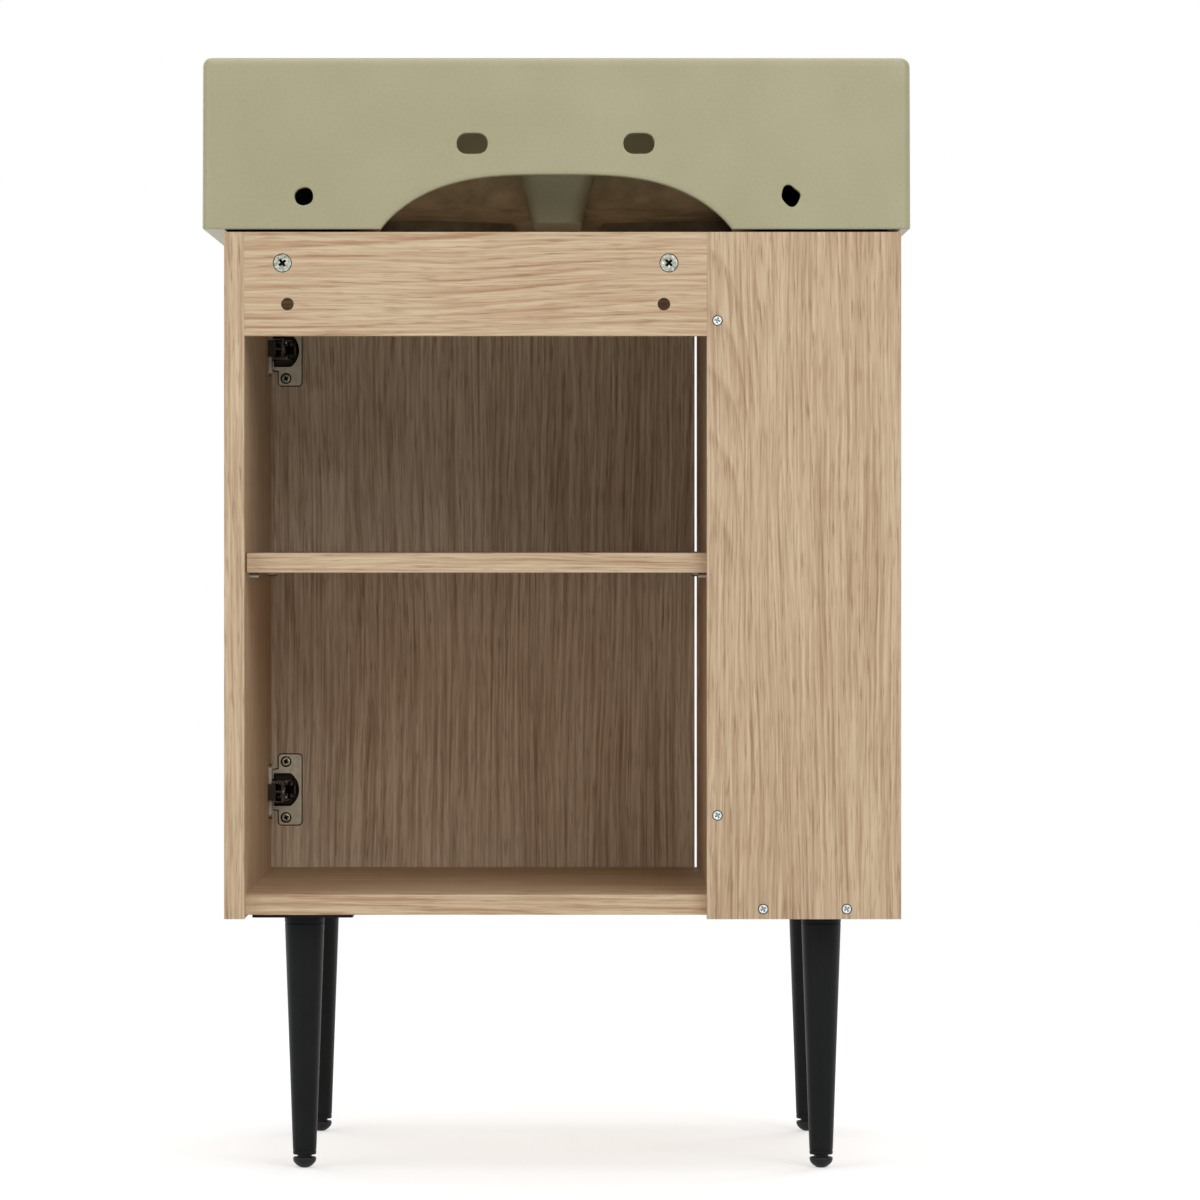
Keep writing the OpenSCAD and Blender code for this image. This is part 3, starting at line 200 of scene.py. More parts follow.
def rounded_rings(table, straight=5, corner=9):
    """Rings in level planes. Each row of table holds half length, half width,
    corner radius, middle in Y, height, and a share of roundness. In a quarter,
    X is what is left of the straight side plus the radius times the cosine,
    Y likewise with the sine; roundness blends that with an ellipse of the same
    half sizes."""
    table = np.asarray(table, float)
    hx, hy, r, cy, z, share = (table[:, k : k + 1] for k in range(6))
    m = 2 * straight + corner
    rise = np.concatenate([np.linspace(0, 1, straight, endpoint=False), np.ones(m + 1 - straight)])
    fall = rise[::-1]
    turn = np.concatenate(
        [np.zeros(straight), np.linspace(0, np.pi / 2, corner + 1), np.full(straight, np.pi / 2)]
    )
    x = fall * (hx - r) + r * np.cos(turn)
    y = rise * (hy - r) + r * np.sin(turn)
    round_turn = np.linspace(0, np.pi / 2, m + 1)
    x = (1 - share) * x + share * hx * np.cos(round_turn)
    y = (1 - share) * y + share * hy * np.sin(round_turn)
    back_x, back_y = x[:, :0:-1], y[:, :0:-1]
    ring_x = np.concatenate([x[:, :-1], -back_x, -x[:, :-1], back_x], 1)
    ring_y = np.concatenate([y[:, :-1], back_y, -y[:, :-1], -back_y], 1)
    return np.stack([ring_x, ring_y + cy, np.broadcast_to(z, ring_x.shape)], -1)


def rows(*columns):
    """A block of rows from numbers or arrays, one for each column."""
    columns = [np.atleast_1d(np.asarray(column, float)) for column in columns]
    return np.stack(np.broadcast_arrays(*columns), 1)


def flare(wall, lip, steps=5):
    """Depths and outward offsets of a cutter through a wall from 0 to wall,
    with a quarter round of radius lip at the far face and a third of it at
    the near one: the offset is the radius less the root of its square less
    the square of the distance still inside the round."""
    small = lip / 3
    t = np.linspace(0, 1, steps)
    near = small * t
    far = wall - lip + lip * t
    depth = np.concatenate([[-0.004], near, far, [wall + 0.004]])
    off_near = small - np.sqrt(np.maximum(small**2 - (small - near) ** 2, 0))
    off_far = lip - np.sqrt(np.maximum(lip**2 - (far - wall + lip) ** 2, 0))
    offset = np.concatenate([[small * 1.6], off_near, off_far, [lip * 1.3]])
    return depth, offset


def wall_cutter(name, half_x, half_z, radius, x, z, share, uneven=0.0):
    """Cutter through the rear wall: rounded rectangles grown by the flare's
    offset, one at each of its depths. A hand-punched hole's radius also
    changes with the cosines of twice, three and four times the angle."""
    depth, offset = flare(REAR_WALL, 0.0012)
    table = rows(half_x + offset, half_z + offset, radius + offset, 0.0, depth, share)
    flat = rounded_rings(table, 3, 7)
    turn = np.arctan2(flat[..., 1], flat[..., 0])
    wave = np.cos(2 * turn - 2.26) + 0.4 * np.cos(3 * turn - 2.75) + 0.58 * np.cos(4 * turn + 1.0)
    flat[..., :2] *= (1 + uneven * wave)[..., None]
    return loft(
        name, np.stack([flat[..., 0] + x, flat[..., 2] + REAR_Y - REAR_WALL, flat[..., 1] + z], -1)
    )


def arch_cutter():
    """Cutter for the arch: height is the arch's times one less the offset
    across to a power, all to another power, moved outwards along the curve's
    normal by the flare's offset at each depth."""
    half_wide, high, below = 0.140, 0.0455, -0.012
    u = -np.cos(np.linspace(0, np.pi, 121))
    x = u * half_wide
    z = high * (1 - np.abs(u) ** 3.2) ** 0.85
    x = np.concatenate([[x[0]], x, [x[-1]]])
    z = np.concatenate([[below], z, [below]])
    run = np.stack([np.gradient(x), np.gradient(z)], 1)
    normal = np.stack([-run[:, 1], run[:, 0]], 1)
    normal /= np.linalg.norm(normal, axis=1, keepdims=True)
    depth, offset = flare(REAR_WALL, 0.003)
    px = x[None] + offset[:, None] * normal[None, :, 0]
    pz = z[None] + offset[:, None] * normal[None, :, 1] + CABINET_Z1
    py = np.broadcast_to((depth + REAR_Y - REAR_WALL)[:, None], px.shape)
    return loft("arch_cutter", np.stack([px, py, pz], -1))


def evaluated(made):
    """Replaces an object's mesh by the one its modifiers give, and drops them."""
    graph = bpy.context.evaluated_depsgraph_get()
    graph.update()
    mesh = bpy.data.meshes.new_from_object(made.evaluated_get(graph))
    old = made.data
    made.modifiers.clear()
    made.data = mesh
    bpy.data.meshes.remove(old)
    return made


def combine(base, others, operation):
    """Joins or cuts base with each other solid in turn, and removes those."""
    for other in others:
        cut = base.modifiers.new(other.name, "BOOLEAN")
        cut.operation = operation
        cut.object = other
        cut.solver = "MANIFOLD"
        faces = len(base.data.polygons)
        evaluated(base)
        if len(base.data.polygons) < faces / 2:
            raise RuntimeError(f"{base.name}: {operation} with {other.name} failed")
        mesh = other.data
        bpy.data.objects.remove(other)
        bpy.data.meshes.remove(mesh)
    return base


def shade(made, angle=35.0):
    """Smooth shading that breaks where faces meet at more than angle."""
    made.data.shade_smooth()
    made.data.set_sharp_from_angle(angle=math.radians(angle))
    return made


def soften(made, width, arris=-1):
    """A live bevel on the sharp edges, its normals matched to the flats, with
    the finish at arris."""
    bevel = made.modifiers.new("soft_edges", "BEVEL")
    bevel.width = width
    bevel.segments = 2
    bevel.limit_method = "ANGLE"
    bevel.angle_limit = math.radians(40)
    bevel.harden_normals = True
    bevel.material = arris
    bevel.use_clamp_overlap = True
    return made


def merged_copy(node, suffix):
    """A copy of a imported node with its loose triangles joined."""
    mesh = frame["nodes"][node].data.copy()
    mesh.name = node + suffix
    work = bmesh.new()
    work.from_mesh(mesh)
    bmesh.ops.remove_doubles(work, verts=work.verts, dist=1e-6)
    bmesh.ops.dissolve_limit(
        work, angle_limit=math.radians(0.5), verts=work.verts, edges=work.edges
    )
    bmesh.ops.triangulate(work, faces=[f for f in work.faces if len(f.verts) > 4])
    work.to_mesh(mesh)
    work.free()
    mesh.materials.clear()
    return linked(node + suffix, mesh)


def coordinates(mesh):
    """Corner places as rows."""
    return read(mesh.vertices, "co", 3)


def islands(mesh):
    """Number of the joined piece that each corner is in: the lowest corner
    number is passed along the edges until nothing changes."""
    a, b = read(mesh.edges, "vertices", 2, np.int32).T
    label = np.arange(len(mesh.vertices))
    while True:
        low = label.copy()
        np.minimum.at(low, a, label[b])
        np.minimum.at(low, b, label[a])
        low = low[low]
        if (low == label).all():
            return label
        label = low


def face_places(mesh):
    """Middle of each face and the number of its first corner."""
    start = read(mesh.polygons, "loop_start", kind=np.int32)
    corner = read(mesh.loops, "vertex_index", kind=np.int32)
    return read(mesh.polygons, "center", 3), corner[start]


def paint_recess_shade(made, reach, deep, index):
    """Gives the driver recess of each screw in a mesh the finish at index,
    a darker one as painted shade: the faces nearer the screw's axis than
    reach, and under its head's top by less than deep. The head is the end with the greater radius."""
    mesh = made.data
    points, label = coordinates(mesh), islands(mesh)
    middle, corner = face_places(mesh)
    kind = np.zeros(len(middle), np.int32)
    for piece in np.unique(label):
        mine = points[label == piece]
        low, high = mine.min(0), mine.max(0)
        axis = int((high - low).argmax())
        across = [k for k in range(3) if k != axis]
        centre = ((low + high) / 2)[across]
        radius = np.linalg.norm(mine[:, across] - centre, axis=1)
        near_high = radius[mine[:, axis] > high[axis] - 0.0015].max()
        near_low = radius[mine[:, axis] < low[axis] + 0.0015].max()
        from_high, from_low = high[axis] - middle[:, axis], middle[:, axis] - low[axis]
        depth = from_high if near_high > near_low else from_low
        inside = np.linalg.norm(middle[:, across] - centre, axis=1) < reach
        kind[(label[corner] == piece) & inside & (depth > 0.00008) & (depth < deep)] = index
    finish_faces(mesh, kind)
    return made


def chamfer_top(made, level, width, index):
    """Cuts a real chamfer with the finish at index round every outline of the
    flat face that looks along +Y at a level."""
    mesh = made.data
    middle, _ = face_places(mesh)
    total = read(mesh.polygons, "loop_total", kind=np.int32)
    facing = read(mesh.polygons, "normal", 3)[:, 1]
    flat = (facing > 0.9) & (middle[:, 1] > level - 1e-5)
    edge = read(mesh.loops, "edge_index", kind=np.int32)
    met = np.bincount(edge, np.repeat(flat, total), len(mesh.edges))
    weight = mesh.attributes.new("bevel_weight_edge", "FLOAT", "EDGE")
    weight.data.foreach_set("value", (met == 1).astype(np.float32))
    cut = made.modifiers.new("chamfer", "BEVEL")
    cut.limit_method = "WEIGHT"
    cut.width = width
    cut.segments = 1
    cut.material = index
    cut.loop_slide = False
    cut.use_clamp_overlap = False
    evaluated(made)
    made.data.attributes.remove(made.data.attributes["bevel_weight_edge"])
    return made


def cross_ray(long, half):
    """Angles round a driver cross and its radius at each: the arm's length
    over the cosine of the angle from the arm, or the arm's half width over
    its sine where that is less."""
    corner = math.atan2(half, long)
    tip = [-corner, -corner / 2, 0, corner / 2, corner]
    step = np.concatenate([-arc(3, 45, 26), tip, arc(2, 26, 36)])
    turn = (step[None] + np.radians([0, 90, 180, 270])[:, None]).ravel()
    angle = np.tile(np.abs(step), 4)
    return turn, np.minimum(long / np.cos(angle), half / np.sin(np.maximum(angle, 1e-3)))


def headed(node, name, profile, cross, start, flat=False):
    """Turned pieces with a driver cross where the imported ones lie. Each is
    rings round its axis: the outline of (radius, depth under the face) pairs,
    the face, and the walls of the cross, of a given arm length, half width
    and depth. The head looks to the side with the greater radius, or with the
    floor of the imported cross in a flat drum."""
    long, half, deep = cross
    turn, ray = cross_ray(long, half)
    profile = np.asarray(profile, float)
    radius = np.concatenate([
        np.repeat(profile[:, :1], len(turn), 1),
        [ray + 0.3 * long, ray + 0.08 * long, ray, ray * 0.8],
    ])
    depth = np.concatenate([profile[:, 1], [0.0, 0.0002, 0.0005, deep]])
    bands = len(profile) - 1
    # the head's rim takes finish 2 and the cross's walls and floor take 1; where these finishes are
    # dark, they are painted shade
    kinds = (0,) * (bands - 2) + (2, 2, 0, 0, 1, 1, 0, 1)
    copy = merged_copy(node, "_places")
    points, label = coordinates(copy.data), islands(copy.data)
    stacks = []
    for serial, piece in enumerate(np.unique(label)):
        mine = points[label == piece]
        low, high = mine.min(0), mine.max(0)
        middle = (low + high) / 2
        axis = int((high - low).argmin() if flat else (high - low).argmax())
        one, two = (axis + 1) % 3, (axis + 2) % 3
        away = np.linalg.norm(mine[:, [one, two]] - middle[[one, two]], axis=1)
        if flat:
            up = (np.abs(mine[:, axis] - high[axis] + CROSS_DEPTH) < 2e-5).sum()
            down = (np.abs(mine[:, axis] - low[axis] - CROSS_DEPTH) < 2e-5).sum()
        else:
            up = away[mine[:, axis] > middle[axis]].max()
            down = away[mine[:, axis] < middle[axis]].max()
        outward, face = (1.0, high[axis]) if up > down else (-1.0, low[axis])
        spin = turn + math.radians(start[0] + start[1] * (serial % 3))
        rings = np.empty((*radius.shape, 3))
        rings[..., one] = middle[one] + radius * np.cos(spin)
        rings[..., two] = middle[two] + radius * np.sin(spin)
        rings[..., axis] = face - outward * depth[:, None]
        stacks.append(rings)
    mesh = copy.data
    bpy.data.objects.remove(copy)
    bpy.data.meshes.remove(mesh)
    return shade(joined(name, stacks, kinds), 30)


def screw_outline(length, shank, head, neck):
    """Half outline of a countersunk screw from its tip: a pointed end, the
    shank, the cone under the head and a narrow rounded rim."""
    return [
        (0.0003, length), (shank, length - 0.0035), (shank, neck), (head, 0.0006),
        (head, 0.0004), (head - 0.0001, 0.0001), (head - 0.00065, 0.0),
    ]


def place(made, node, *materials):
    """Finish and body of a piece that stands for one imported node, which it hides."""
    if not made.data.materials:
        for material in materials:
            made.data.materials.append(material)
    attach(made, BODY_OF[node])
    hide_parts(node)
    return made


class Graph:
    """Short words for making a material's nodes and links."""

    def __init__(self, name):
        self.material = bpy.data.materials.new(name)
        self.material.use_nodes = True
        self.tree = self.material.node_tree
        self.tree.nodes.clear()
        self.out = self.tree.nodes.new("ShaderNodeOutputMaterial")

    def add(self, kind, inputs=None, **settings):
        """A node of a kind, with its settings and what its inputs take."""
        node = self.tree.nodes.new("ShaderNode" + kind)
        for key, value in settings.items():
            setattr(node, key, value)
        for key, value in (inputs or {}).items():
            self.put(node.inputs[key], value)
        return node

    def put(self, socket, value):
        """Links a socket to another node, or sets its own value."""
        if isinstance(value, bpy.types.NodeSocket):
            self.tree.links.new(value, socket)
        elif isinstance(value, bpy.types.Node):
            self.tree.links.new(value.outputs[0], socket)
        else:
            socket.default_value = value

    def math(self, operation, a, b=0.0, clamp=False):
        """The result of a sum on two values."""
        return self.add("Math", {0: a, 1: b}, operation=operation, use_clamp=clamp).outputs[0]

    def noise(self, vector, scale, detail=2.0, rough=0.5):
        """A soft random value from 0 to 1 over a vector."""
        return self.add(
            "TexNoise", {"Vector": vector, "Scale": scale, "Detail": detail, "Roughness": rough}
        ).outputs["Fac"]

    def stretched(self, vector, across, along):
        """The vector in units of one over across and along."""
        return self.add("Mapping", {"Vector": vector, "Scale": (across, along, 1)}).outputs[0]

    def ramp(self, value, low, high, bottom=0.0, top=1.0):
        """The value spread from low and high to bottom and top, and held there."""
        return self.add(
            "MapRange",
            {"Value": value, "From Min": low, "From Max": high, "To Min": bottom, "To Max": top},
            clamp=True,
        ).outputs[0]

    def mix(self, share, a, b):
        """Colour a, with b over it by a share."""
        node = self.add("Mix", data_type="RGBA")
        self.put(node.inputs[0], share)
        self.put(node.inputs[6], a)
        self.put(node.inputs[7], b)
        return node.outputs[2]

    def bump(self, height, strength, distance):
        """Normals that lean with a height."""
        return self.add("Bump", {"Height": height, "Strength": strength, "Distance": distance})

    def finish(self, surface):
        """The material, with a shader as its surface."""
        self.put(self.out.inputs["Surface"], surface)
        return self.material

    def surface(self, inputs):
        """The finished material, one principled shader with these inputs."""
        return self.finish(self.add("BsdfPrincipled", inputs))


def linear(red, green, blue):
    """Scene colour of a colour given in display values from 0 to 255."""
    value = np.array([red, green, blue]) / 255.0
    value = np.where(value <= 0.04045, value / 12.92, ((value + 0.055) / 1.055) ** 2.4)
    return (*value.tolist(), 1.0)


def rgba(colour):
    """A setting's colour with full cover."""
    return (*colour, 1.0)


def darker(colour, share):
    """The colour at a share of its light."""
    return (*(c * share for c in colour[:3]), 1.0)


def oak(name, light, dark, spacing, growth, streaks):
    """Oak print on board, drawn in the piece's own UV in metres, U across the
    grain from the log's heart, V along it. The rings are steps of the
    distance from a heart whose depth swings slowly with V, so they run
    straight far from it and arch over it. Short dark streaks, finer pores and
    slow tone bands lie over them, all bent by the same drift of U."""
    g = Graph(name)
    uv = g.add("UVMap").outputs[0]
    u, v = g.add("SeparateXYZ", {"Vector": uv}).outputs[:2]
    drift = g.math("SUBTRACT", g.noise(g.stretched(uv, 7, 1.5), 1.0, 2.0), 0.5)
    ripple = g.math("SUBTRACT", g.noise(g.stretched(uv, 70, 11), 1.0, 2.0), 0.5)
    bent = g.math("ADD", u, g.math("MULTIPLY", drift, 0.026))
    bent = g.math("ADD", bent, g.math("MULTIPLY", ripple, 0.0024))
    here = g.add("CombineXYZ", {"X": bent, "Y": v}).outputs[0]
    depth = g.math("MULTIPLY", g.math("SINE", g.math("MULTIPLY", v, 2.3)), 0.052)
    depth = g.math("ADD", depth, 0.066)
    radius = g.math(
        "SQRT", g.math("ADD", g.math("MULTIPLY", bent, bent), g.math("MULTIPLY", depth, depth))
    )
    uneven = g.noise(g.stretched(here, 40, 0.7), 1.0, 1.0)
    ring = g.math("ADD", g.math("DIVIDE", radius, spacing), g.math("MULTIPLY", uneven, 1.6))
    ring = g.math("FRACT", ring)
    ring = g.math("MULTIPLY", g.math("POWER", ring, 2.6), g.ramp(ring, 0.84, 1.0, 1.0, 0.0))
    fade = g.ramp(g.noise(g.stretched(here, 40, 6), 1.0, 2.0), 0.36, 0.6, 0.1, 1.0)
    band = g.ramp(g.noise(g.stretched(here, 17, 0.8), 1.0, 2.0), 0.34, 0.66)
    streak = g.ramp(g.noise(g.stretched(here, 330, 4.0), 1.0, 2.5), 0.42, 0.64)
    fine = g.ramp(g.noise(g.stretched(here, 560, 14), 1.0, 2.5, 0.6), 0.43, 0.60)
    pore = g.ramp(g.noise(g.stretched(here, 700, 40), 1.0, 1.5), 0.54, 0.70)
    lines = g.math("MULTIPLY", ring, fade)
    share = g.math("MULTIPLY", lines, growth)
    share = g.math("ADD", share, g.math("MULTIPLY", band, 0.14))
    share = g.math("ADD", share, g.math("MULTIPLY", streak, streaks))
    share = g.math("ADD", share, g.math("MULTIPLY", fine, 0.33), True)
    colour = g.mix(share, light, dark)
    porous = g.math("MULTIPLY", pore, g.ramp(lines, 0.0, 0.5, 0.4, 0.8))
    height = g.math("SUBTRACT", g.math("MULTIPLY", fine, -0.4), g.math("MULTIPLY", pore, 0.6))
    return g.surface({
        "Base Color": g.mix(porous, colour, darker(dark, 0.76)),
        "Roughness": g.ramp(fine, 0.0, 1.0, 0.46, 0.6),
        "Specular IOR Level": 0.35,
        "Normal": g.bump(height, 0.2, 0.0003),
    })


def arris_finish(colour):
    """The thin darker line where banding and face meet."""
    g = Graph("oak_arris")
    here = g.add("TexCoord").outputs["Object"]
    speck = g.noise(here, 900, 2.0)
    return g.surface({
        "Base Color": g.mix(g.ramp(speck, 0.3, 0.7), colour, darker(colour, 0.7)),
        "Roughness": g.ramp(speck, 0.3, 0.7, 0.5, 0.62),
    })


def glaze(light, dark):
    """Satin glaze: fine mottling of two close tones, scattered darker specks
    and a faint orange-peel surface."""
    g = Graph("sage_glaze")
    here = g.add("TexCoord").outputs["Object"]
    cloud = g.noise(here, 16, 3.0)
    mottle = g.noise(here, 420, 3.0, 0.6)
    fine = g.noise(here, 1500, 2.0)
    speck = g.ramp(g.noise(here, 700, 1.0), 0.70, 0.78)
    share = g.math("ADD", g.ramp(cloud, 0.3, 0.7, 0.1, 0.5), g.ramp(mottle, 0.3, 0.7, 0.0, 0.4))
    colour = g.mix(share, light, dark)
    height = g.math("ADD", g.math("MULTIPLY", mottle, 0.7), g.math("MULTIPLY", fine, 0.3))
    return g.surface({
        "Base Color": g.mix(g.math("MULTIPLY", speck, 0.22), colour, darker(dark, 0.55)),
        "Roughness": g.ramp(mottle, 0.3, 0.7, 0.36, 0.5),
        "Specular IOR Level": 0.4,
        "Coat Weight": 0.25,
        "Coat Roughness": 0.3,
        "Normal": g.bump(height, 0.2, 0.0004),
    })


def biscuit(light, dark, spray):
    """Unglazed body under the basin: matt, cloudy, with kiln specks, a haze
    of glaze on its upper half, and painted shade, black towards its far ends in X."""
    g = Graph("raw_biscuit_with_painted_shade")
    here = g.add("TexCoord").outputs["Object"]
    cloud = g.noise(here, 30, 4.0, 0.6)
    grit = g.noise(here, 900, 3.0, 0.6)
    colour = g.mix(g.ramp(cloud, 0.3, 0.7), light, dark)
    across, _, height = g.add("SeparateXYZ", {"Vector": here}).outputs
    haze = g.math("ADD", height, g.math("MULTIPLY", cloud, 0.03))
    colour = g.mix(g.ramp(haze, 0.805, 0.825), colour, spray)
    # near black for the kiln specks, and for the painted shade at the far ends
    black = darker(dark, 0.02)
    colour = g.mix(g.ramp(grit, 0.62, 0.75, 0.0, 0.4), colour, black)
    # painted shade: black from 0.135 to 0.16 m out from the middle in X, where the hollow lies in
    # shade
    side = g.math("ABSOLUTE", across)
    colour = g.mix(g.ramp(side, 0.135, 0.16, 0.0, 1.0), colour, black)
    return g.surface({
        "Base Color": colour,
        "Roughness": g.ramp(grit, 0.3, 0.7, 0.75, 0.9),
        "Specular IOR Level": 0.04,
        "Normal": g.bump(grit, 0.35, 0.0006),
    })


def plated(name, colour, roughness, brush=0.0):
    """Plated steel: a slightly uneven tone and polish, with fine scratches
    along one axis where it is brushed."""
    g = Graph(name)
    here = g.add("TexCoord").outputs["Object"]
    cloud = g.noise(here, 160, 3.0)
    scratch = g.noise(g.stretched(here, 300, 5200), 1.0, 2.0) if brush else g.noise(here, 2600, 2.0)
    return g.surface({
        "Base Color": g.mix(g.ramp(cloud, 0.3, 0.7), colour, darker(colour, 0.8)),
        "Metallic": 1.0,
        "Roughness": g.ramp(scratch, 0.3, 0.7, roughness, roughness + 0.14),
        "Normal": g.bump(scratch, 0.12 + brush, 0.0002),
    })


def cast(name, colour):
    """Die-cast zinc: patches of bright and dull grey over a pebbled skin."""
    g = Graph(name)
    here = g.add("TexCoord").outputs["Object"]
    patch = g.ramp(g.noise(here, 330, 3.0, 0.6), 0.36, 0.66)
    pebble = g.noise(here, 1500, 3.0, 0.6)
    height = g.math("ADD", g.math("MULTIPLY", patch, 0.8), pebble)
    return g.surface({
        "Base Color": g.mix(patch, darker(colour, 0.3), colour),
        "Metallic": 1.0,
        "Roughness": g.ramp(pebble, 0.3, 0.7, 0.28, 0.5),
        "Normal": g.bump(height, 0.55, 0.0004),
    })


def coated(name, colour, roughness, grain=900.0, height=0.0004, gloss=0.5):
    """Powder coat, moulded plastic or wood end grain: two close tones and a
    fine pebble."""
    g = Graph(name)
    here = g.add("TexCoord").outputs["Object"]
    pebble = g.noise(here, grain, 3.0, 0.6)
    cloud = g.noise(here, 40, 2.0)
    paler = (*(min(1.0, c * 1.35 + 0.004) for c in colour[:3]), 1.0)
    share = g.math("ADD", g.ramp(pebble, 0.35, 0.65, 0.0, 0.6), g.ramp(cloud, 0.3, 0.7, 0.0, 0.3))
    return g.surface({
        "Base Color": g.mix(share, colour, paler),
        "Specular IOR Level": gloss,
        "Roughness": g.ramp(pebble, 0.3, 0.7, roughness, roughness + 0.12),
        "Normal": g.bump(pebble, 0.25, height),
    })


def clear_rubber():
    """Soft clear bumper: cloudy, mostly see-through."""
    g = Graph("clear_bumper_rubber")
    here = g.add("TexCoord").outputs["Object"]
    cloud = g.noise(here, 700, 2.0)
    return g.surface({
        "Base Color": g.mix(cloud, linear(222, 226, 226), linear(198, 204, 204)),
        "Roughness": g.ramp(cloud, 0.3, 0.7, 0.25, 0.4),
        "Transmission Weight": 0.6,
        "IOR": 1.45,
    })


def colour_property(name, description, red, green, blue):
    """A colour setting, its default in display values from 0 to 255."""
    return FloatVectorProperty(
        name=name,
        description=description,
        subtype="COLOR",
        size=3,
        min=0.0,
        max=1.0,
        default=linear(red, green, blue)[:3],
    )


def length_property(name, description, default):
    """A length setting in metres."""
    return FloatProperty(
        name=name, description=description, default=default, min=0.0, unit="LENGTH", precision=5
    )


class VanityBoardSettings(PropertyGroup):
    oak_light: colour_property("Oak light", "Light tone of the oak print", 222, 201, 168)
    oak_dark: colour_property("Oak dark", "Tone of the growth lines", 178, 138, 104)
    panel_light: colour_property("Panel light", "Light tone of the upright boards", 220, 196, 163)
    panel_dark: colour_property("Panel dark", "Dark tone of the upright boards", 169, 134, 103)
    # painted light: the door's inside takes a paler copy of the oak print than the other boards
    door_inside_pale_painted_light: colour_property("Lining light", "Light tone of the door's inside", 248, 231, 204)
    door_inside_deep_painted_light: colour_property("Lining dark", "Dark tone of the door's inside", 178, 146, 116)
    arris: colour_property("Arris", "Tone of the banding's edge", 150, 120, 88)
    edge: length_property("Edge", "Width of the softened board edges", 0.0004)
    wide_spacing: length_property("Wide spacing", "Distance of the rails' growth lines", 0.0078)
    fine_spacing: length_property("Fine spacing", "Distance of the panels' growth lines", 0.0054)


class VanityBasinSettings(PropertyGroup):
    glaze_light: colour_property("Glaze light", "Light tone of the glaze", 180, 175, 142)
    glaze_dark: colour_property("Glaze dark", "Dark tone of the glaze", 164, 159, 124)
    body_light: colour_property("Body light", "Light tone of the unglazed body", 193, 171, 135)
    body_dark: colour_property("Body dark", "Dark tone of the unglazed body", 147, 127, 97)
    edge_radius: length_property("Edge radius", "Radius of the outer edges", 0.007)
    foot_radius: length_property("Foot radius", "Radius of the lower edges", 0.0018)
    taper: length_property("Taper", "How far the ends lean in towards the top", 0.0004)
    # the seam is a real gap; its far ends take the body's painted shade, and its middle keeps the
    # body's colour
    seam: length_property("Seam", "Height of the dark seam over the cabinet", 0.0021)
    wall: length_property("Bowl wall", "Thickness of the bowl's wall", 0.009)


class VanityMetalSettings(PropertyGroup):
    black: colour_property("Black", "Powder coat of the legs", 15, 17, 17)
    zinc: colour_property("Zinc", "Zinc of the cam locks and screws", 172, 172, 164)
    cast: colour_property("Cast zinc", "Bright patches of the cam locks", 200, 202, 188)
    screw: colour_property("Screw", "Bright zinc of the wood screws", 222, 230, 232)
    nickel: colour_property("Nickel", "Satin nickel of the hinges", 184, 174, 154)
    # painted shade: a darker copy of the nickel for the hinge parts that lie in shade
    nickel_painted_shade: colour_property("Dark nickel", "Shaded nickel of arms and cups", 62, 56, 48)
    # painted shade: near-black steel for driver recesses, cam rims and hinge edges
    recess: colour_property("Recess", "Steel inside a driver recess", 26, 25, 23)
    # painted shade: the dark ring round the screw heads, where they meet the board
    rim: colour_property("Rim", "Dull rim of the screw heads", 58, 58, 54)
    sides: IntProperty(
        name="Sides", description="Faces round a turned piece", default=64, min=24, max=160
    )


class VanityStageSettings(PropertyGroup):
    floor: colour_property("Floor", "Colour of the floor", 236, 236, 236)
    daylight: FloatProperty(
        name="Daylight", description="Strength of the even light", default=0.38, min=0.0, max=2.0
    )


def lay_grain(mesh, thick, grain, serial, heart):
    """Own UV in metres, by the axis each face looks along. V runs with the
    grain, and along the strip on a banded end; U runs across, from the board's
    middle less the place of the log's heart. Each side of each board is
    shifted to its own stretch of the figure."""
    wide = 3 - thick - grain
    u_of = np.zeros(3, int)
    v_of = np.zeros(3, int)
    u_of[[thick, wide, grain]] = wide, thick, thick
    v_of[[thick, wide, grain]] = grain, grain, wide
    vertex = read(mesh.loops, "vertex_index", kind=np.int32)
    points = coordinates(mesh)
    normals = read(mesh.polygons, "normal", 3)
    total = read(mesh.polygons, "loop_total", kind=np.int32)
    axis = np.abs(normals).argmax(1)
    side = normals[np.arange(len(axis)), axis] > 0
    shift = 0.61 * serial + 1.83 * axis + 0.97 * side
    off = np.where(axis == thick, -heart, 0.11 + 0.02 * serial)
    axis, shift, off = np.repeat(axis, total), np.repeat(shift, total), np.repeat(off, total)
    middle = (points.min(0) + points.max(0)) / 2
    across = points[vertex, u_of[axis]] - middle[u_of[axis]] + off
    uv = np.stack([across, points[vertex, v_of[axis]] + shift], 1)
    layer = mesh.uv_layers.get("UVMap") or mesh.uv_layers.new(name="UVMap")
    layer.uv.foreach_set("vector", uv.astype(np.float32).ravel())


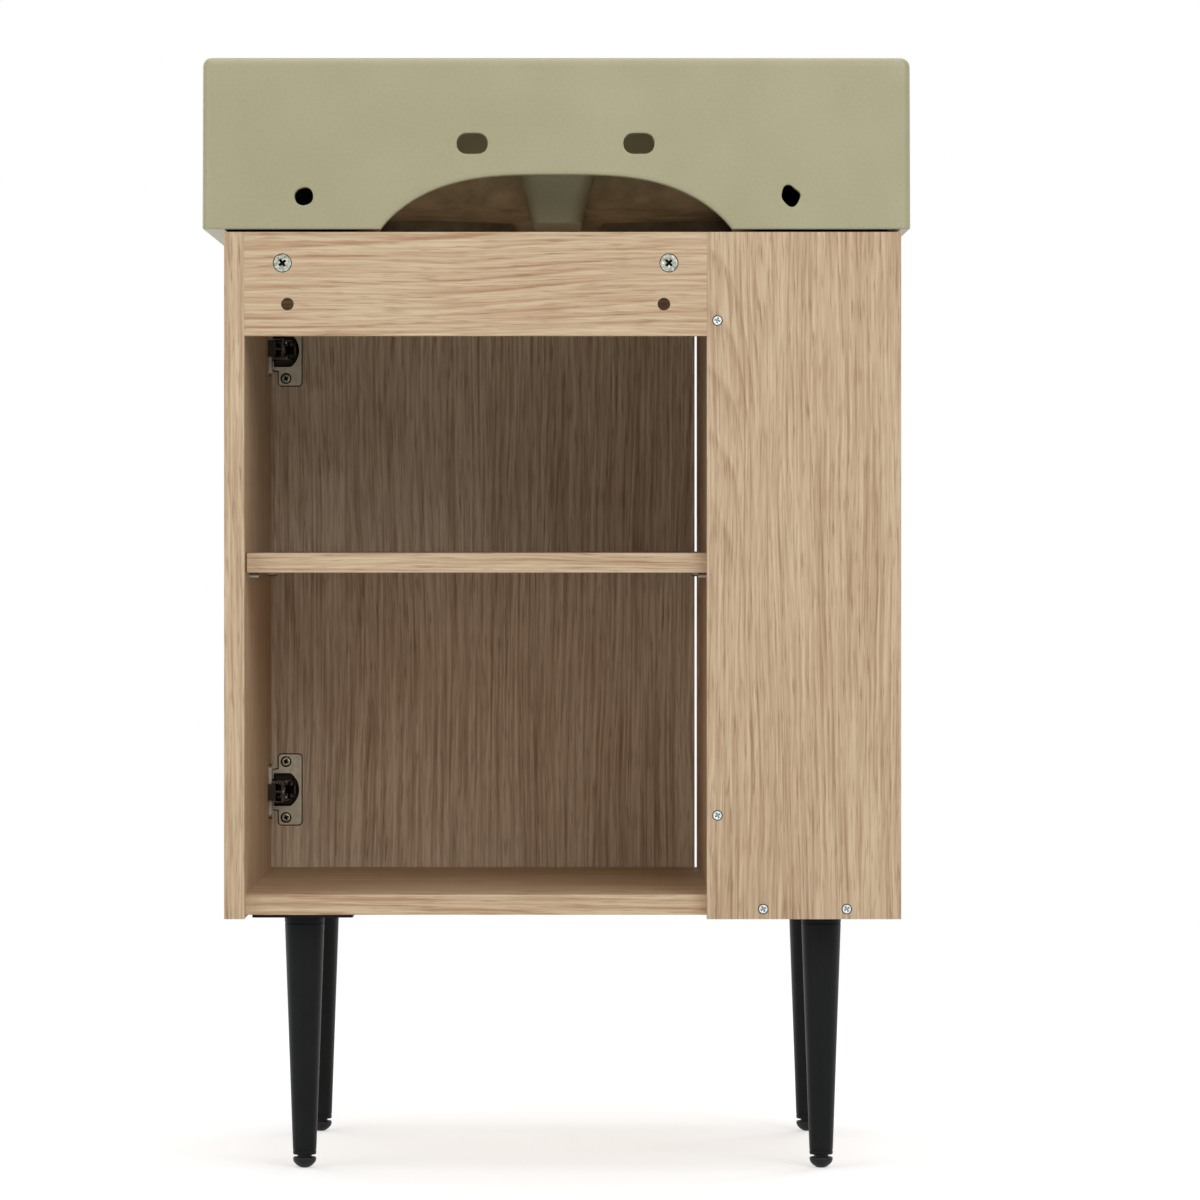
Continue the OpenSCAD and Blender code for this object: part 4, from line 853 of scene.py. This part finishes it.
class VANITY_OT_boards(Operator):
    """Dress every board of the cabinet and the door in oak print"""

    bl_idname = "vanity.boards"
    bl_label = "Boards"

    def execute(self, context):
        values = context.scene.vanity_boards
        wide, fine = values.wide_spacing, values.fine_spacing
        rail, panel, door_inside_painted_light = (
            oak(name, rgba(light), rgba(dark), spacing, growth, streaks)
            for name, light, dark, spacing, growth, streaks in (
                ("oak_streaked", values.oak_light, values.oak_dark, wide, 0.95, 0.31),
                ("oak_quiet", values.panel_light, values.panel_dark, fine, 0.52, 0.38),
                ("oak_door_inside_painted_light", values.door_inside_pale_painted_light, values.door_inside_deep_painted_light, fine, 0.34, 0.46),
            )
        )
        arris = arris_finish(rgba(values.arris))
        for serial, (node, (thick, grain)) in enumerate(BOARDS.items()):
            made = merged_copy(node, "_board")
            lay_grain(made.data, thick, grain, serial + 1, HEART.get(node, 0.17))
            made.data.shade_flat()
            made.data.materials.append(rail if node in STREAKY else panel)
            made.data.materials.append(arris)
            # painted light: the door's inner face takes the paler copy of the oak print
            if node == "door":
                made.data.materials.append(door_inside_painted_light)
                middle, _ = face_places(made.data)
                inner = middle[:, 1] > middle[:, 1].max() - 1e-5
                finish_faces(made.data, np.where(inner, 2, 0))
            soften(made, values.edge, arris=1)
            place(made, node)
        return {"FINISHED"}


def bowl_table(grow=0.0):
    """Rows of the bowl's inside from the drain seat to the lip, all grown by
    one value: a dished floor, a fillet whose half sizes follow the sine and
    whose height follows the cosine, a sloped wall and a round lip."""
    seat, floor_x, floor_y, floor_z = 0.034, 0.184, 0.089, 0.7753
    mouth_x, mouth_y, mouth_corner, lip_radius = 0.254, 0.159, 0.066, 0.008
    r = 0.034 + grow
    floor = np.linspace(0, 1, 7)
    ease = floor * floor * (3 - 2 * floor)
    turn = arc(9, 4, 66)
    lip = arc(8, -22, 90)
    flat = rows(
        seat + (floor_x - seat) * floor,
        seat + (floor_y - seat) * floor,
        seat + 0.008 * floor,
        BOWL_Y,
        floor_z - grow + 0.0057 * ease,
        1 - ease,
    )
    fillet = rows(
        floor_x + r * np.sin(turn),
        floor_y + r * np.sin(turn),
        0.042 + (r - 0.02) * np.sin(turn),
        BOWL_Y,
        0.815 - r * np.cos(turn),
        0.0,
    )
    rim = rows(
        mouth_x + grow - lip_radius * np.cos(lip),
        mouth_y + grow - lip_radius * np.cos(lip),
        mouth_corner + grow - lip_radius * np.cos(lip),
        BOWL_Y,
        BASIN_Z1 - lip_radius + lip_radius * np.sin(lip),
        0.0,
    )
    return flat, fillet, rim


def cavity(grow):
    """The bowl's room as a closed solid, grown into its wall, to trim what
    meets the bowl from below."""
    flat, fillet, rim = bowl_table(grow)
    top = rows(0.254 + grow, 0.159 + grow, 0.066 + grow, BOWL_Y, 0.90, 0.0)
    return loft("cavity", rounded_rings(np.concatenate([flat, fillet, rim[:3], top])))


class VANITY_OT_basin(Operator):
    """Build the ceramic basin, its overflow channel and its openings"""

    bl_idname = "vanity.basin"
    bl_label = "Basin"

    def shell(self, edge, wall, low_edge, lean, seam):
        """One closed skin from the drain bore over bowl, lip, deck and outer
        walls to the foot, the hollow, the bowl's underside and the boss. On
        each rounded stretch the half sizes follow the sine or cosine of a
        quarter turn, and the height follows the other."""

        def turned(radius, corner, height):
            """Rows of round rings about the drain."""
            return rows(radius, radius, corner, BOWL_Y, height, 1.0)

        turn, small, wide = arc(7, 0, 90), arc(4, 0, 90), arc(6, 0, 90)
        rise, fall = np.sin(small), 1 - np.cos(small)
        half_x, half_y, level = 0.280, 0.2275, CABINET_Z1 + seam
        hollow_x, hollow_y, vault_z = 0.268, 0.2155, 0.862
        hx, hy = half_x - edge, half_y - edge
        foot_x, foot_y = half_x - low_edge, half_y - low_edge
        flat, fillet, rim = bowl_table()
        under, haunch, _ = bowl_table(wall)
        bore = turned(0.023, 0.023, [0.7565, 0.7712])
        bore_top = turned(0.023 + 0.0015 * fall, 0.023, 0.7712 + 0.0015 * rise)
        seat = turned(0.031 + 0.0025 * fall, 0.031, 0.7729 + 0.0022 * rise)
        deck = rows([0.257, 0.272], [0.163, 0.218], [0.06, 0.004], [-0.034, 0.0055], BASIN_Z1, 0.0)
        shoulder = rows(
            hx - lean + edge * np.sin(turn), hy + edge * np.sin(turn),
            0.001 + 0.006 * np.sin(turn),
            BASIN_Y, BASIN_Z1 - edge + edge * np.cos(turn), 0.0,
        )
        sides = rows(
            [hx + edge - 0.76 * lean, hx + edge - 0.25 * lean], hy + edge, edge,
            BASIN_Y, [0.85, 0.78], 0.0,
        )
        foot = rows(
            foot_x + low_edge * np.cos(turn), foot_y + low_edge * np.cos(turn),
            0.0045 + 0.0025 * np.cos(turn),
            BASIN_Y, level + low_edge - low_edge * np.sin(turn), 0.0,
        )
        bed = rows(0.2625, 0.2243, 0.004, BASIN_Y, level, 0.0)
        gap = rows(
            [0.2545, 0.2542, 0.2542], [0.2187, 0.2184, 0.2184], 0.004,
            BASIN_Y, [level, level - 0.0002, CABINET_Z1], 0.0,
        )
        flange = rows(
            [0.246, 0.244, 0.244, 0.246], [0.2045, 0.2025, 0.2025, 0.2045], 0.004,
            0.017, [0.745, 0.747, 0.753, 0.755], 0.0,
        )
        hollow = rows(hollow_x, hollow_y, 0.004, BASIN_Y, [0.7551, vault_z], 0.0)
        vault = rows(
            hollow_x - 0.007 * fall, hollow_y - 0.007 * fall, 0.004,
            BASIN_Y, vault_z + 0.007 * rise, 0.0,
        )
        hang = rows(
            0.2602 - 0.0055 * rise, 0.1652 - 0.0055 * rise, 0.062,
            BOWL_Y, 0.869 - 0.0055 * fall, 0.0,
        )
        blend = np.linspace(0.2, 1, 4)[:, None]
        down = (1 - blend) * hang[-1] + blend * haunch[-1]
        boss = turned(0.043 - 0.008 * np.sin(wide), 0.03, 0.7663 - 0.008 * (1 - np.cos(wide)))
        boss_end = turned(0.0335 + 0.0015 * np.cos(small), 0.03, 0.7555 - 0.0015 * rise)
        bore_low = turned([0.0245, 0.0233], 0.023, [0.754, 0.7548])
        glazed = [bore, bore_top, seat, flat[1:], fillet, rim, deck, shoulder, sides, foot, bed]
        raw = [gap, flange, hollow, vault, hang, down, haunch[-2::-1], under[:1:-1],
               boss, boss_end, bore_low]
        table = np.concatenate(glazed + raw)
        made = loft("basin_ceramic", rounded_rings(table), close_rows=True)
        # Raw from the bed inwards, but for the faces that close the last row to the first
        per_row = len(made.data.vertices) // len(table)
        first = read(made.data.loops, "vertex_index", kind=np.int32).reshape(-1, 4)
        closing = first.max(1) - first.min(1) > 2 * per_row
        below = first.min(1) // per_row >= sum(map(len, glazed)) - 1
        finish_faces(made.data, below & ~closing)
        return made

    def channel(self, grow, name):
        """Level sections of the overflow channel: its half width and its rear
        face grow with height, its corners are round. Outside, the channel
        widens fast at first and then hardly, as read from a broken line."""
        z = np.array([0.764 - grow, 0.7655 - grow, 0.771, 0.80, 0.83, 0.858 + grow, 0.863 + grow])
        share = np.clip((z - z[0]) / (z[-1] - z[0]), 0, 1)
        out = 0.1065 + grow + 0.022 * share
        out = out - np.array([0.0035, 0.0010, 0, 0, 0, 0, 0]) * (grow > 0)
        start = BOWL_Y + 0.008 - grow
        wide = 0.004 * share
        if grow > 0:
            wide = np.interp(z, [0.764, 0.80, 0.87], [0.0, 0.0112, 0.014])
        half_x = 0.014 + grow + wide - np.array([0.003, 0.0008, 0, 0, 0, 0, 0]) * (grow > 0)
        corner = 0.004 + 1.2 * grow
        table = rows(half_x, (out - start) / 2, corner, (out + start) / 2, z, 0.0)
        return loft(name, rounded_rings(table, 4, 6))

    def rib(self, x, name):
        """A tapered web between the bowl and the rear wall."""
        table = rows([0.0032, 0.0045, 0.006], 0.0735, 0.0015, 0.153, [0.8095, 0.84, 0.8765], 0.0)
        rings = rounded_rings(table, 3, 4)
        rings[..., 0] += x
        return loft(name, rings)

    def execute(self, context):
        values = context.scene.vanity_basin
        basin = self.shell(
            values.edge_radius, values.wall, values.foot_radius, values.taper, values.seam
        )
        spray = rgba(values.glaze_dark)
        basin.data.materials.append(glaze(rgba(values.glaze_light), spray))
        basin.data.materials.append(biscuit(rgba(values.body_light), rgba(values.body_dark), spray))
        outer = combine(self.channel(0.007, "channel"), [cavity(0.004)], "DIFFERENCE")
        ribs = [
            combine(self.rib(side * 0.196, f"rib_{side}"), [cavity(0.004)], "DIFFERENCE")
            for side in (-1, 1)
        ]
        for raw in [outer] + ribs:
            for material in basin.data.materials:
                raw.data.materials.append(material)
            finish_faces(raw.data, np.ones(len(raw.data.polygons)))
        combine(basin, [outer] + ribs, "UNION")
        void = combine(self.channel(0.0, "void"), [cavity(values.wall)], "DIFFERENCE")
        tap = loft("tap_cutter", self.tap_rings())
        overflow = loft(
            "overflow_cutter",
            revolve([(0.011, 0.090), (0.011, 0.1255)], (0, 0, 0.849), axis=1, sides=48),
        )
        holes = [
            wall_cutter("hole_left", 0.0073, 0.0073, 0.0073, 0.1995, 0.7732, 1.0, -0.028),
            wall_cutter("hole_right", 0.0077, 0.0077, 0.0077, -0.1852, 0.7736, 1.0, 0.11),
            wall_cutter("slot_left", 0.01225, 0.00825, 0.007, 0.0665, 0.815, 0.25),
            wall_cutter("slot_right", 0.01225, 0.00825, 0.007, -0.0653, 0.815, 0.25),
            arch_cutter(),
        ]
        combine(basin, [void, tap, overflow] + holes, "DIFFERENCE")
        shade(basin, 38)
        even = basin.modifiers.new("even_normals", "WEIGHTED_NORMAL")
        even.keep_sharp = True
        place(basin, "basin")
        return {"FINISHED"}

    def tap_rings(self):
        """Round cutter down through the deck, flared at the top."""
        deck = 0.014
        depth, offset = flare(deck, 0.0015)
        profile = np.stack([0.0175 + offset, depth + BASIN_Z1 - deck], 1)
        return revolve(profile, (0, 0.171, 0), axis=2, sides=56)


class VANITY_OT_legs(Operator):
    """Turn the tapered legs and the levelling feet, and coat the fixing plates and their screws"""

    bl_idname = "vanity.legs"
    bl_label = "Legs"

    def execute(self, context):
        values = context.scene.vanity_metal
        coat = coated("black_powder_coat", rgba(values.black), 0.36, 1100.0, 0.0004, 0.12)
        plastic = coated("black_foot_plastic", darker(values.black, 0.8), 0.45, 700.0, gloss=0.3)
        for spot in ("rear_right", "rear_left", "front_right", "front_left"):
            low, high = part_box("leg_" + spot)
            x, y = (low.x + high.x) / 2, (low.y + high.y) / 2
            for part, profile, finish in (
                ("leg", self.leg_profile(), coat),
                ("foot", self.foot_profile(), plastic),
            ):
                rings = revolve(profile, (x, y, 0), sides=values.sides)
                place(shade(loft(f"{part}_turned_{spot}", rings), 40), f"{part}_{spot}", finish)
            plate = shade(merged_copy("leg_plate_" + spot, "_coated"))
            place(soften(plate, 0.0003), "leg_plate_" + spot, coat)
        screws = merged_copy("leg_plate_screws", "_coated")
        place(shade(screws), "leg_plate_screws", coat)
        return {"FINISHED"}

    def leg_profile(self):
        """Half outline of a leg: counterbore, a rounded foot end, the straight
        taper with a fine groove near each end, the top and its stud."""
        foot, top, foot_z, top_z = 0.0093, 0.016, 0.0105, 0.202
        t = arc(5, 0, 90)
        low = np.stack([foot - 0.0008 + 0.0008 * np.sin(t), 0.0113 - 0.0008 * np.cos(t)], 1)
        slope = (top - foot) / (top_z - foot_z)
        z = np.array([0.0136, 0.0139, 0.0143, 0.0146, 0.03, 0.08, 0.13, 0.18, 0.1945])
        taper = np.stack([foot + slope * (z - foot_z), z], 1)
        taper[1:3, 0] -= 0.0003
        groove = np.array([[0.01575, 0.1949], [0.0153, 0.1952], [0.0153, 0.1956], [0.0158, 0.1959]])
        head = np.stack([0.0152 + 0.0008 * np.cos(t), 0.2012 + 0.0008 * np.sin(t)], 1)
        stud = np.array([[0.004, top_z], [0.004, 0.212], [0.003, 0.213]])
        bore = np.array([[0.0042, 0.0139], [0.0062, 0.0137], [0.0062, 0.0107], [0.0066, 0.0105]])
        return np.concatenate([bore, low, taper, groove, head, stud])

    def foot_profile(self):
        """Half outline of a levelling foot: a small flat sole, a bowl whose
        radius follows a sine to a power and whose height follows a cosine, a
        crisp rim, a collar and the thread, whose ridges are a saw of the
        height."""
        t = arc(14, 0, 90)
        bowl = np.stack([0.0028 + 0.0065 * np.sin(t) ** 1.7, 0.0070 - 0.0070 * np.cos(t)], 1)
        rim = np.array([[0.0093, 0.0076], [0.0091, 0.0082], [0.0086, 0.0085]])
        neck = np.array([[0.0058, 0.0087], [0.0056, 0.0109], [0.0039, 0.0110]])
        ridge, half_pitch = np.arange(34), 0.00058
        thread = np.stack([0.0034 + 0.0006 * (ridge % 2), 0.0114 + half_pitch * ridge], 1)
        end = np.array([[0.003, 0.0325]])
        return np.concatenate([bowl, rim, neck, thread, end])


class VANITY_OT_fittings(Operator):
    """Finish the cam locks, bolts, screws, dowels, pins, knob and bumpers"""

    bl_idname = "vanity.fittings"
    bl_label = "Fittings"

    def execute(self, context):
        values = context.scene.vanity_metal
        zinc = plated("zinc_plate", rgba(values.zinc), 0.34)
        # painted shade: near-black steel in the recesses and on the cams' rims
        shadow = plated("recess_painted_shade", rgba(values.recess), 0.5)
        # painted shade: a dark ring round the screw heads
        rim = plated("zinc_rim_painted_shade", rgba(values.rim), 0.42)
        drum = [
            (0.0071, 0.0125), (0.0075, 0.0121), (0.0075, 0.0012), (0.0071, 0.0004), (0.0069, 0.0),
        ]
        cams = headed("cam_locks", "cam_drums", drum, (0.0031, 0.0009, 0.0030), (38, 9), flat=True)
        place(cams, "cam_locks", cast("cast_zinc", rgba(values.cast)), shadow, shadow)
        bright = plated("bright_zinc_screw", rgba(values.screw), 0.3)
        # painted shade: the plain zinc tone in the panel screws' crosses, darker than their heads
        soft_shadow = plated("pale_recess_painted_shade", rgba(values.zinc), 0.4)
        screws = headed(
            "back_panel_screws", "panel_screws", screw_outline(0.0377, 0.00175, 0.0040, 0.0026),
            (0.0022, 0.00055, 0.0018), (28, 47),
        )
        place(screws, "back_panel_screws", bright, soft_shadow, rim)
        # painted shade in the knob screw's recess and on its softened edges
        screw = paint_recess_shade(shade(merged_copy("knob_screw", "_zinc")), 0.0023, 0.0025, 1)
        place(soften(screw, 0.0003, arris=2), "knob_screw", bright, shadow, rim)
        for node in ("cam_bolts", "shelf_pins"):
            place(shade(merged_copy(node, "_zinc")), node, zinc)
        beech = coated("beech_end", linear(200, 160, 112), 0.6, 1400.0)
        place(shade(merged_copy("dowels", "_beech")), "dowels", beech)
        low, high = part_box("door_knob")
        middle = ((low.x + high.x) / 2, high.y, (low.z + high.z) / 2)
        black = coated("black_knob_paint", rgba(values.black), 0.36, 1300.0, 0.0003)
        knob = loft("knob_turned", revolve(self.knob_profile(), middle, axis=1, sides=values.sides))
        place(shade(knob, 40), "door_knob", black)
        rubber = clear_rubber()
        bumpers = []
        low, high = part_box("door_bumpers")
        t = arc(6, 0, 90)
        for z in (low.z + 0.004, high.z - 0.004):
            dome = np.stack([0.004 * np.cos(t * 0.86), low.y + 0.002 * np.sin(t)], 1)
            bumpers.append(revolve(dome, ((low.x + high.x) / 2, 0, z), axis=1, sides=40))
        place(shade(joined("bumper_domes", bumpers), 40), "door_bumpers", rubber)
        return {"FINISHED"}

    def knob_profile(self):
        """Half outline of the knob along its own axis, from the door outwards:
        a foot, a hollow neck that widens as a quarter wave, a rounded face."""
        t = np.linspace(0, 1, 12)
        neck = np.stack([0.007 + 0.005 * (0.5 - 0.5 * np.cos(np.pi * t)), -0.004 - 0.0125 * t], 1)
        foot = np.array(
            [[0.0022, 0.0], [0.0086, 0.0], [0.009, -0.0004], [0.009, -0.0018], [0.0084, -0.0022]]
        )
        a = arc(7, 0, 90)
        face = np.stack([0.012 + 0.002 * np.cos(a), -0.020 - 0.002 * np.sin(a)], 1)
        rim = np.array([[0.0134, -0.0172], [0.014, -0.0182]])
        crown = np.array([[0.008, -0.02195], [0.001, -0.02185]])
        return np.concatenate([foot, neck, rim, face, crown])


class VANITY_OT_hinges(Operator):
    """Finish the two cup hinges in satin nickel and zinc: the room in each cup,
    the rib of each plate, the arms and the inner links take a darker nickel as painted shade"""

    bl_idname = "vanity.hinges"
    bl_label = "Hinges"

    def execute(self, context):
        values = context.scene.vanity_metal
        nickel = plated("satin_nickel", rgba(values.nickel), 0.3, brush=0.1)
        # painted shade: darker nickel for the room in each cup, the plate's rib, the arms and the
        # inner links
        dark = plated("painted_shade_nickel", rgba(values.nickel_painted_shade), 0.34)
        bright = plated("bright_nickel", rgba(values.zinc), 0.2)
        zinc = plated("hinge_zinc", rgba(values.zinc), 0.28)
        # painted shade: near-black steel in the hinge screws' recesses, on the arm screws' edges
        # and on the cup's chamfer
        shadow = plated("hinge_recess_painted_shade", rgba(values.recess), 0.5)
        finishes = {
            "hinge_plate": (nickel, bright, dark),
            "hinge_arm": (dark, bright),
            "hinge_cup": (nickel, bright, dark, shadow),
            "outer_link": (bright, nickel),
            "inner_link": (dark, bright),
        }
        for side in ("upper", "lower"):
            for part, metals in finishes.items():
                made = merged_copy(f"{side}_{part}", "_nickel")
                for metal in metals:
                    made.data.materials.append(metal)
                middle, _ = face_places(made.data)
                kind = np.zeros(len(middle), np.int32)
                if part == "hinge_cup":
                    level = float(coordinates(made.data)[:, 1].max())
                    # painted shade in the room of the cup
                    kind[middle[:, 1] < level - 0.0004] = 2
                if part == "hinge_plate":
                    # painted shade on the part of the plate more than 3 mm in from the side panel
                    kind[middle[:, 0] < SIDE_X - 0.0030] = 2
                finish_faces(made.data, kind)
                if part == "hinge_cup":
                    # painted shade: the chamfer round every outline of the flange takes the
                    # near-black finish, a dark outline
                    chamfer_top(made, level, 0.0009, 3)
                if part.endswith("link"):
                    shade(made)
                else:
                    made.data.shade_flat()
                soften(made, 0.0004 if part in ("hinge_arm", "hinge_cup") else 0.0003, arris=1)
                place(made, f"{side}_{part}")
            for part in ("arm_pins", "cup_pins", "link_springs"):
                made = merged_copy(f"{side}_{part}", "_zinc")
                place(shade(made, 50), f"{side}_{part}", zinc)
        for node, length, head, neck, cross in (
            ("hinge_cup_screws", 0.0112, 0.0035, 0.0011, (0.0019, 0.0006, 0.0009)),
            ("hinge_plate_screws", 0.0135, 0.0041, 0.0022, (0.0022, 0.0007, 0.0015)),
        ):
            outline = screw_outline(length, 0.0018, head, neck)
            made = headed(node, node + "_turned", outline, cross, (21, 47))
            place(made, node, nickel, shadow, nickel)
        # painted shade in the arm screws' recesses and on their softened edges
        made = paint_recess_shade(shade(merged_copy("hinge_arm_screws", "_zinc")), 0.0025, 0.0025, 1)
        place(soften(made, 0.0003, arris=1), "hinge_arm_screws", nickel, shadow)
        return {"FINISHED"}


class VANITY_OT_stage(Operator):
    """Set the floor, the soft lights, the white surroundings and the camera"""

    bl_idname = "vanity.stage"
    bl_label = "Stage"

    def floor(self, values):
        """A square floor, white to the camera, a gloss or glass but for the
        unit's shadow."""
        made = new_object(
            "studio_floor",
            np.array([[-9, -9, 0], [9, -9, 0], [9, 9, 0], [-9, 9, 0]], float),
            [[0, 1, 2, 3]],
        )
        g = Graph("studio_floor_paint")
        path = g.add("LightPath")
        here = g.add("TexCoord").outputs["Object"]
        tone = g.ramp(g.noise(here, 3.0, 2.0), 0.3, 0.7, 0.97, 1.0)
        base = g.add("BsdfDiffuse", {"Color": g.mix(tone, (0.7, 0.7, 0.7, 1), rgba(values.floor))})
        lift = g.add("Emission", {"Color": (1, 1, 1, 1), "Strength": 0.42})
        near = g.add("AddShader", {0: base, 1: lift})
        away = g.add("VectorMath", {0: here}, operation="LENGTH").outputs["Value"]
        plain = g.add("Emission", {"Color": (1, 1, 1, 1), "Strength": 1.0})
        seen = g.add("MixShader", {0: g.ramp(away, 0.9, 1.9), 1: near, 2: plain})
        rays = g.math("MAXIMUM", path.outputs["Is Camera Ray"], path.outputs["Is Glossy Ray"])
        rays = g.math("MAXIMUM", rays, path.outputs["Is Transmission Ray"])
        white = g.add("MixShader", {0: rays, 1: base, 2: seen})
        made.data.materials.append(g.finish(white))

    def lamp(self, name, place_at, target, size, power):
        """A soft rectangular light that looks at its target."""
        light = bpy.data.lights.new(name, "AREA")
        light.shape = "RECTANGLE"
        light.size, light.size_y = size
        light.energy = power
        made = linked(name, light)
        made.location = place_at
        look = Vector(target) - Vector(place_at)
        made.rotation_euler = look.to_track_quat("-Z", "Y").to_euler()

    def surroundings(self, daylight):
        """White where the camera, a gloss or glass looks, plain daylight for
        everything else."""
        world = bpy.data.worlds.new("studio_white")
        world.use_nodes = True
        tree = world.node_tree
        tree.nodes.clear()
        path = tree.nodes.new("ShaderNodeLightPath")
        first = tree.nodes.new("ShaderNodeMath")
        second = tree.nodes.new("ShaderNodeMath")
        first.operation = second.operation = "MAXIMUM"
        tree.links.new(path.outputs["Is Camera Ray"], first.inputs[0])
        tree.links.new(path.outputs["Is Glossy Ray"], first.inputs[1])
        tree.links.new(first.outputs[0], second.inputs[0])
        tree.links.new(path.outputs["Is Transmission Ray"], second.inputs[1])
        strength = tree.nodes.new("ShaderNodeMapRange")
        strength.inputs["To Min"].default_value = daylight
        strength.inputs["To Max"].default_value = 1.0
        tree.links.new(second.outputs[0], strength.inputs["Value"])
        light = tree.nodes.new("ShaderNodeBackground")
        light.inputs["Color"].default_value = (1, 1, 1, 1)
        tree.links.new(strength.outputs[0], light.inputs["Strength"])
        out = tree.nodes.new("ShaderNodeOutputWorld")
        tree.links.new(light.outputs[0], out.inputs["Surface"])
        bpy.context.scene.world = world

    def camera(self):
        """Long level view of the rear, as in the photograph, shifted so that
        the vanishing point falls where it is there."""
        data = bpy.data.cameras.new("rear_view")
        data.sensor_width = 36.0
        data.lens = PHOTO_FOCAL / PHOTO_SIZE * data.sensor_width
        data.shift_x = (PHOTO_SIZE / 2 - VANISHING_POINT[0]) / PHOTO_SIZE
        data.shift_y = (VANISHING_POINT[1] - PHOTO_SIZE / 2) / PHOTO_SIZE
        data.clip_end = 60.0
        made = linked("rear_view", data)
        made.location = (EYE_X, REAR_Y + CAMERA_AWAY, EYE_HEIGHT)
        made.rotation_euler = (math.radians(90), 0, math.radians(180))
        bpy.context.scene.camera = made

    def execute(self, context):
        values = context.scene.vanity_stage
        self.floor(values)
        for name, place_at, target, size, power in (
            ("rear_softbox", (-1.5, 3.2, 2.2), (0, 0.1, 0.45), (2.4, 2.2), 46),
            ("rear_fill", (2.6, 2.4, 1.3), (0, 0.1, 0.4), (2.2, 2.2), 21),
            ("front_softbox", (-1.6, -3.2, 2.3), (0, -0.1, 0.5), (2.6, 2.2), 47),
            ("front_fill", (2.4, -2.6, 1.2), (0, -0.1, 0.4), (2.2, 2.2), 20),
            ("top_softbox", (0.2, 0.1, 3.2), (0, 0, 0), (2.6, 2.6), 26),
        ):
            self.lamp(name, place_at, target, size, power)
        self.surroundings(values.daylight)
        self.camera()
        context.scene.view_settings.view_transform = "Standard"
        return {"FINISHED"}


class VANITY_PT_panel(Panel):
    """Lists the steps that dress the vanity unit"""

    bl_label = "Vanity Unit"
    bl_idname = "VANITY_PT_panel"
    bl_space_type = "VIEW_3D"
    bl_region_type = "UI"
    bl_category = "Vanity"

    def draw(self, context):
        for settings, operators in SECTIONS:
            box = self.layout.box()
            group = getattr(context.scene, settings)
            for key in group.__annotations__:
                box.prop(group, key)
            for operator in operators:
                box.operator(operator.bl_idname)


SECTIONS = (
    ("vanity_boards", (VANITY_OT_boards,)),
    ("vanity_basin", (VANITY_OT_basin,)),
    ("vanity_metal", (VANITY_OT_legs, VANITY_OT_hinges, VANITY_OT_fittings)),
    ("vanity_stage", (VANITY_OT_stage,)),
)
SETTINGS = {
    "vanity_boards": VanityBoardSettings,
    "vanity_basin": VanityBasinSettings,
    "vanity_metal": VanityMetalSettings,
    "vanity_stage": VanityStageSettings,
}
OPERATORS = tuple(operator for _, operators in SECTIONS for operator in operators)


def register():
    """Adds the settings, the operators and the panel."""
    for name, group in SETTINGS.items():
        bpy.utils.register_class(group)
        setattr(bpy.types.Scene, name, PointerProperty(type=group))
    for made in (*OPERATORS, VANITY_PT_panel):
        bpy.utils.register_class(made)


def unregister():
    """Takes them out again, in the other order."""
    for made in (VANITY_PT_panel, *reversed(OPERATORS)):
        bpy.utils.unregister_class(made)
    for name, group in SETTINGS.items():
        delattr(bpy.types.Scene, name)
        bpy.utils.unregister_class(group)


def main():
    """Runs every operator."""
    register()
    bpy.ops.vanity.stage()
    bpy.ops.vanity.boards()
    bpy.ops.vanity.basin()
    bpy.ops.vanity.legs()
    bpy.ops.vanity.hinges()
    bpy.ops.vanity.fittings()


if __name__ == "__main__":
    main()
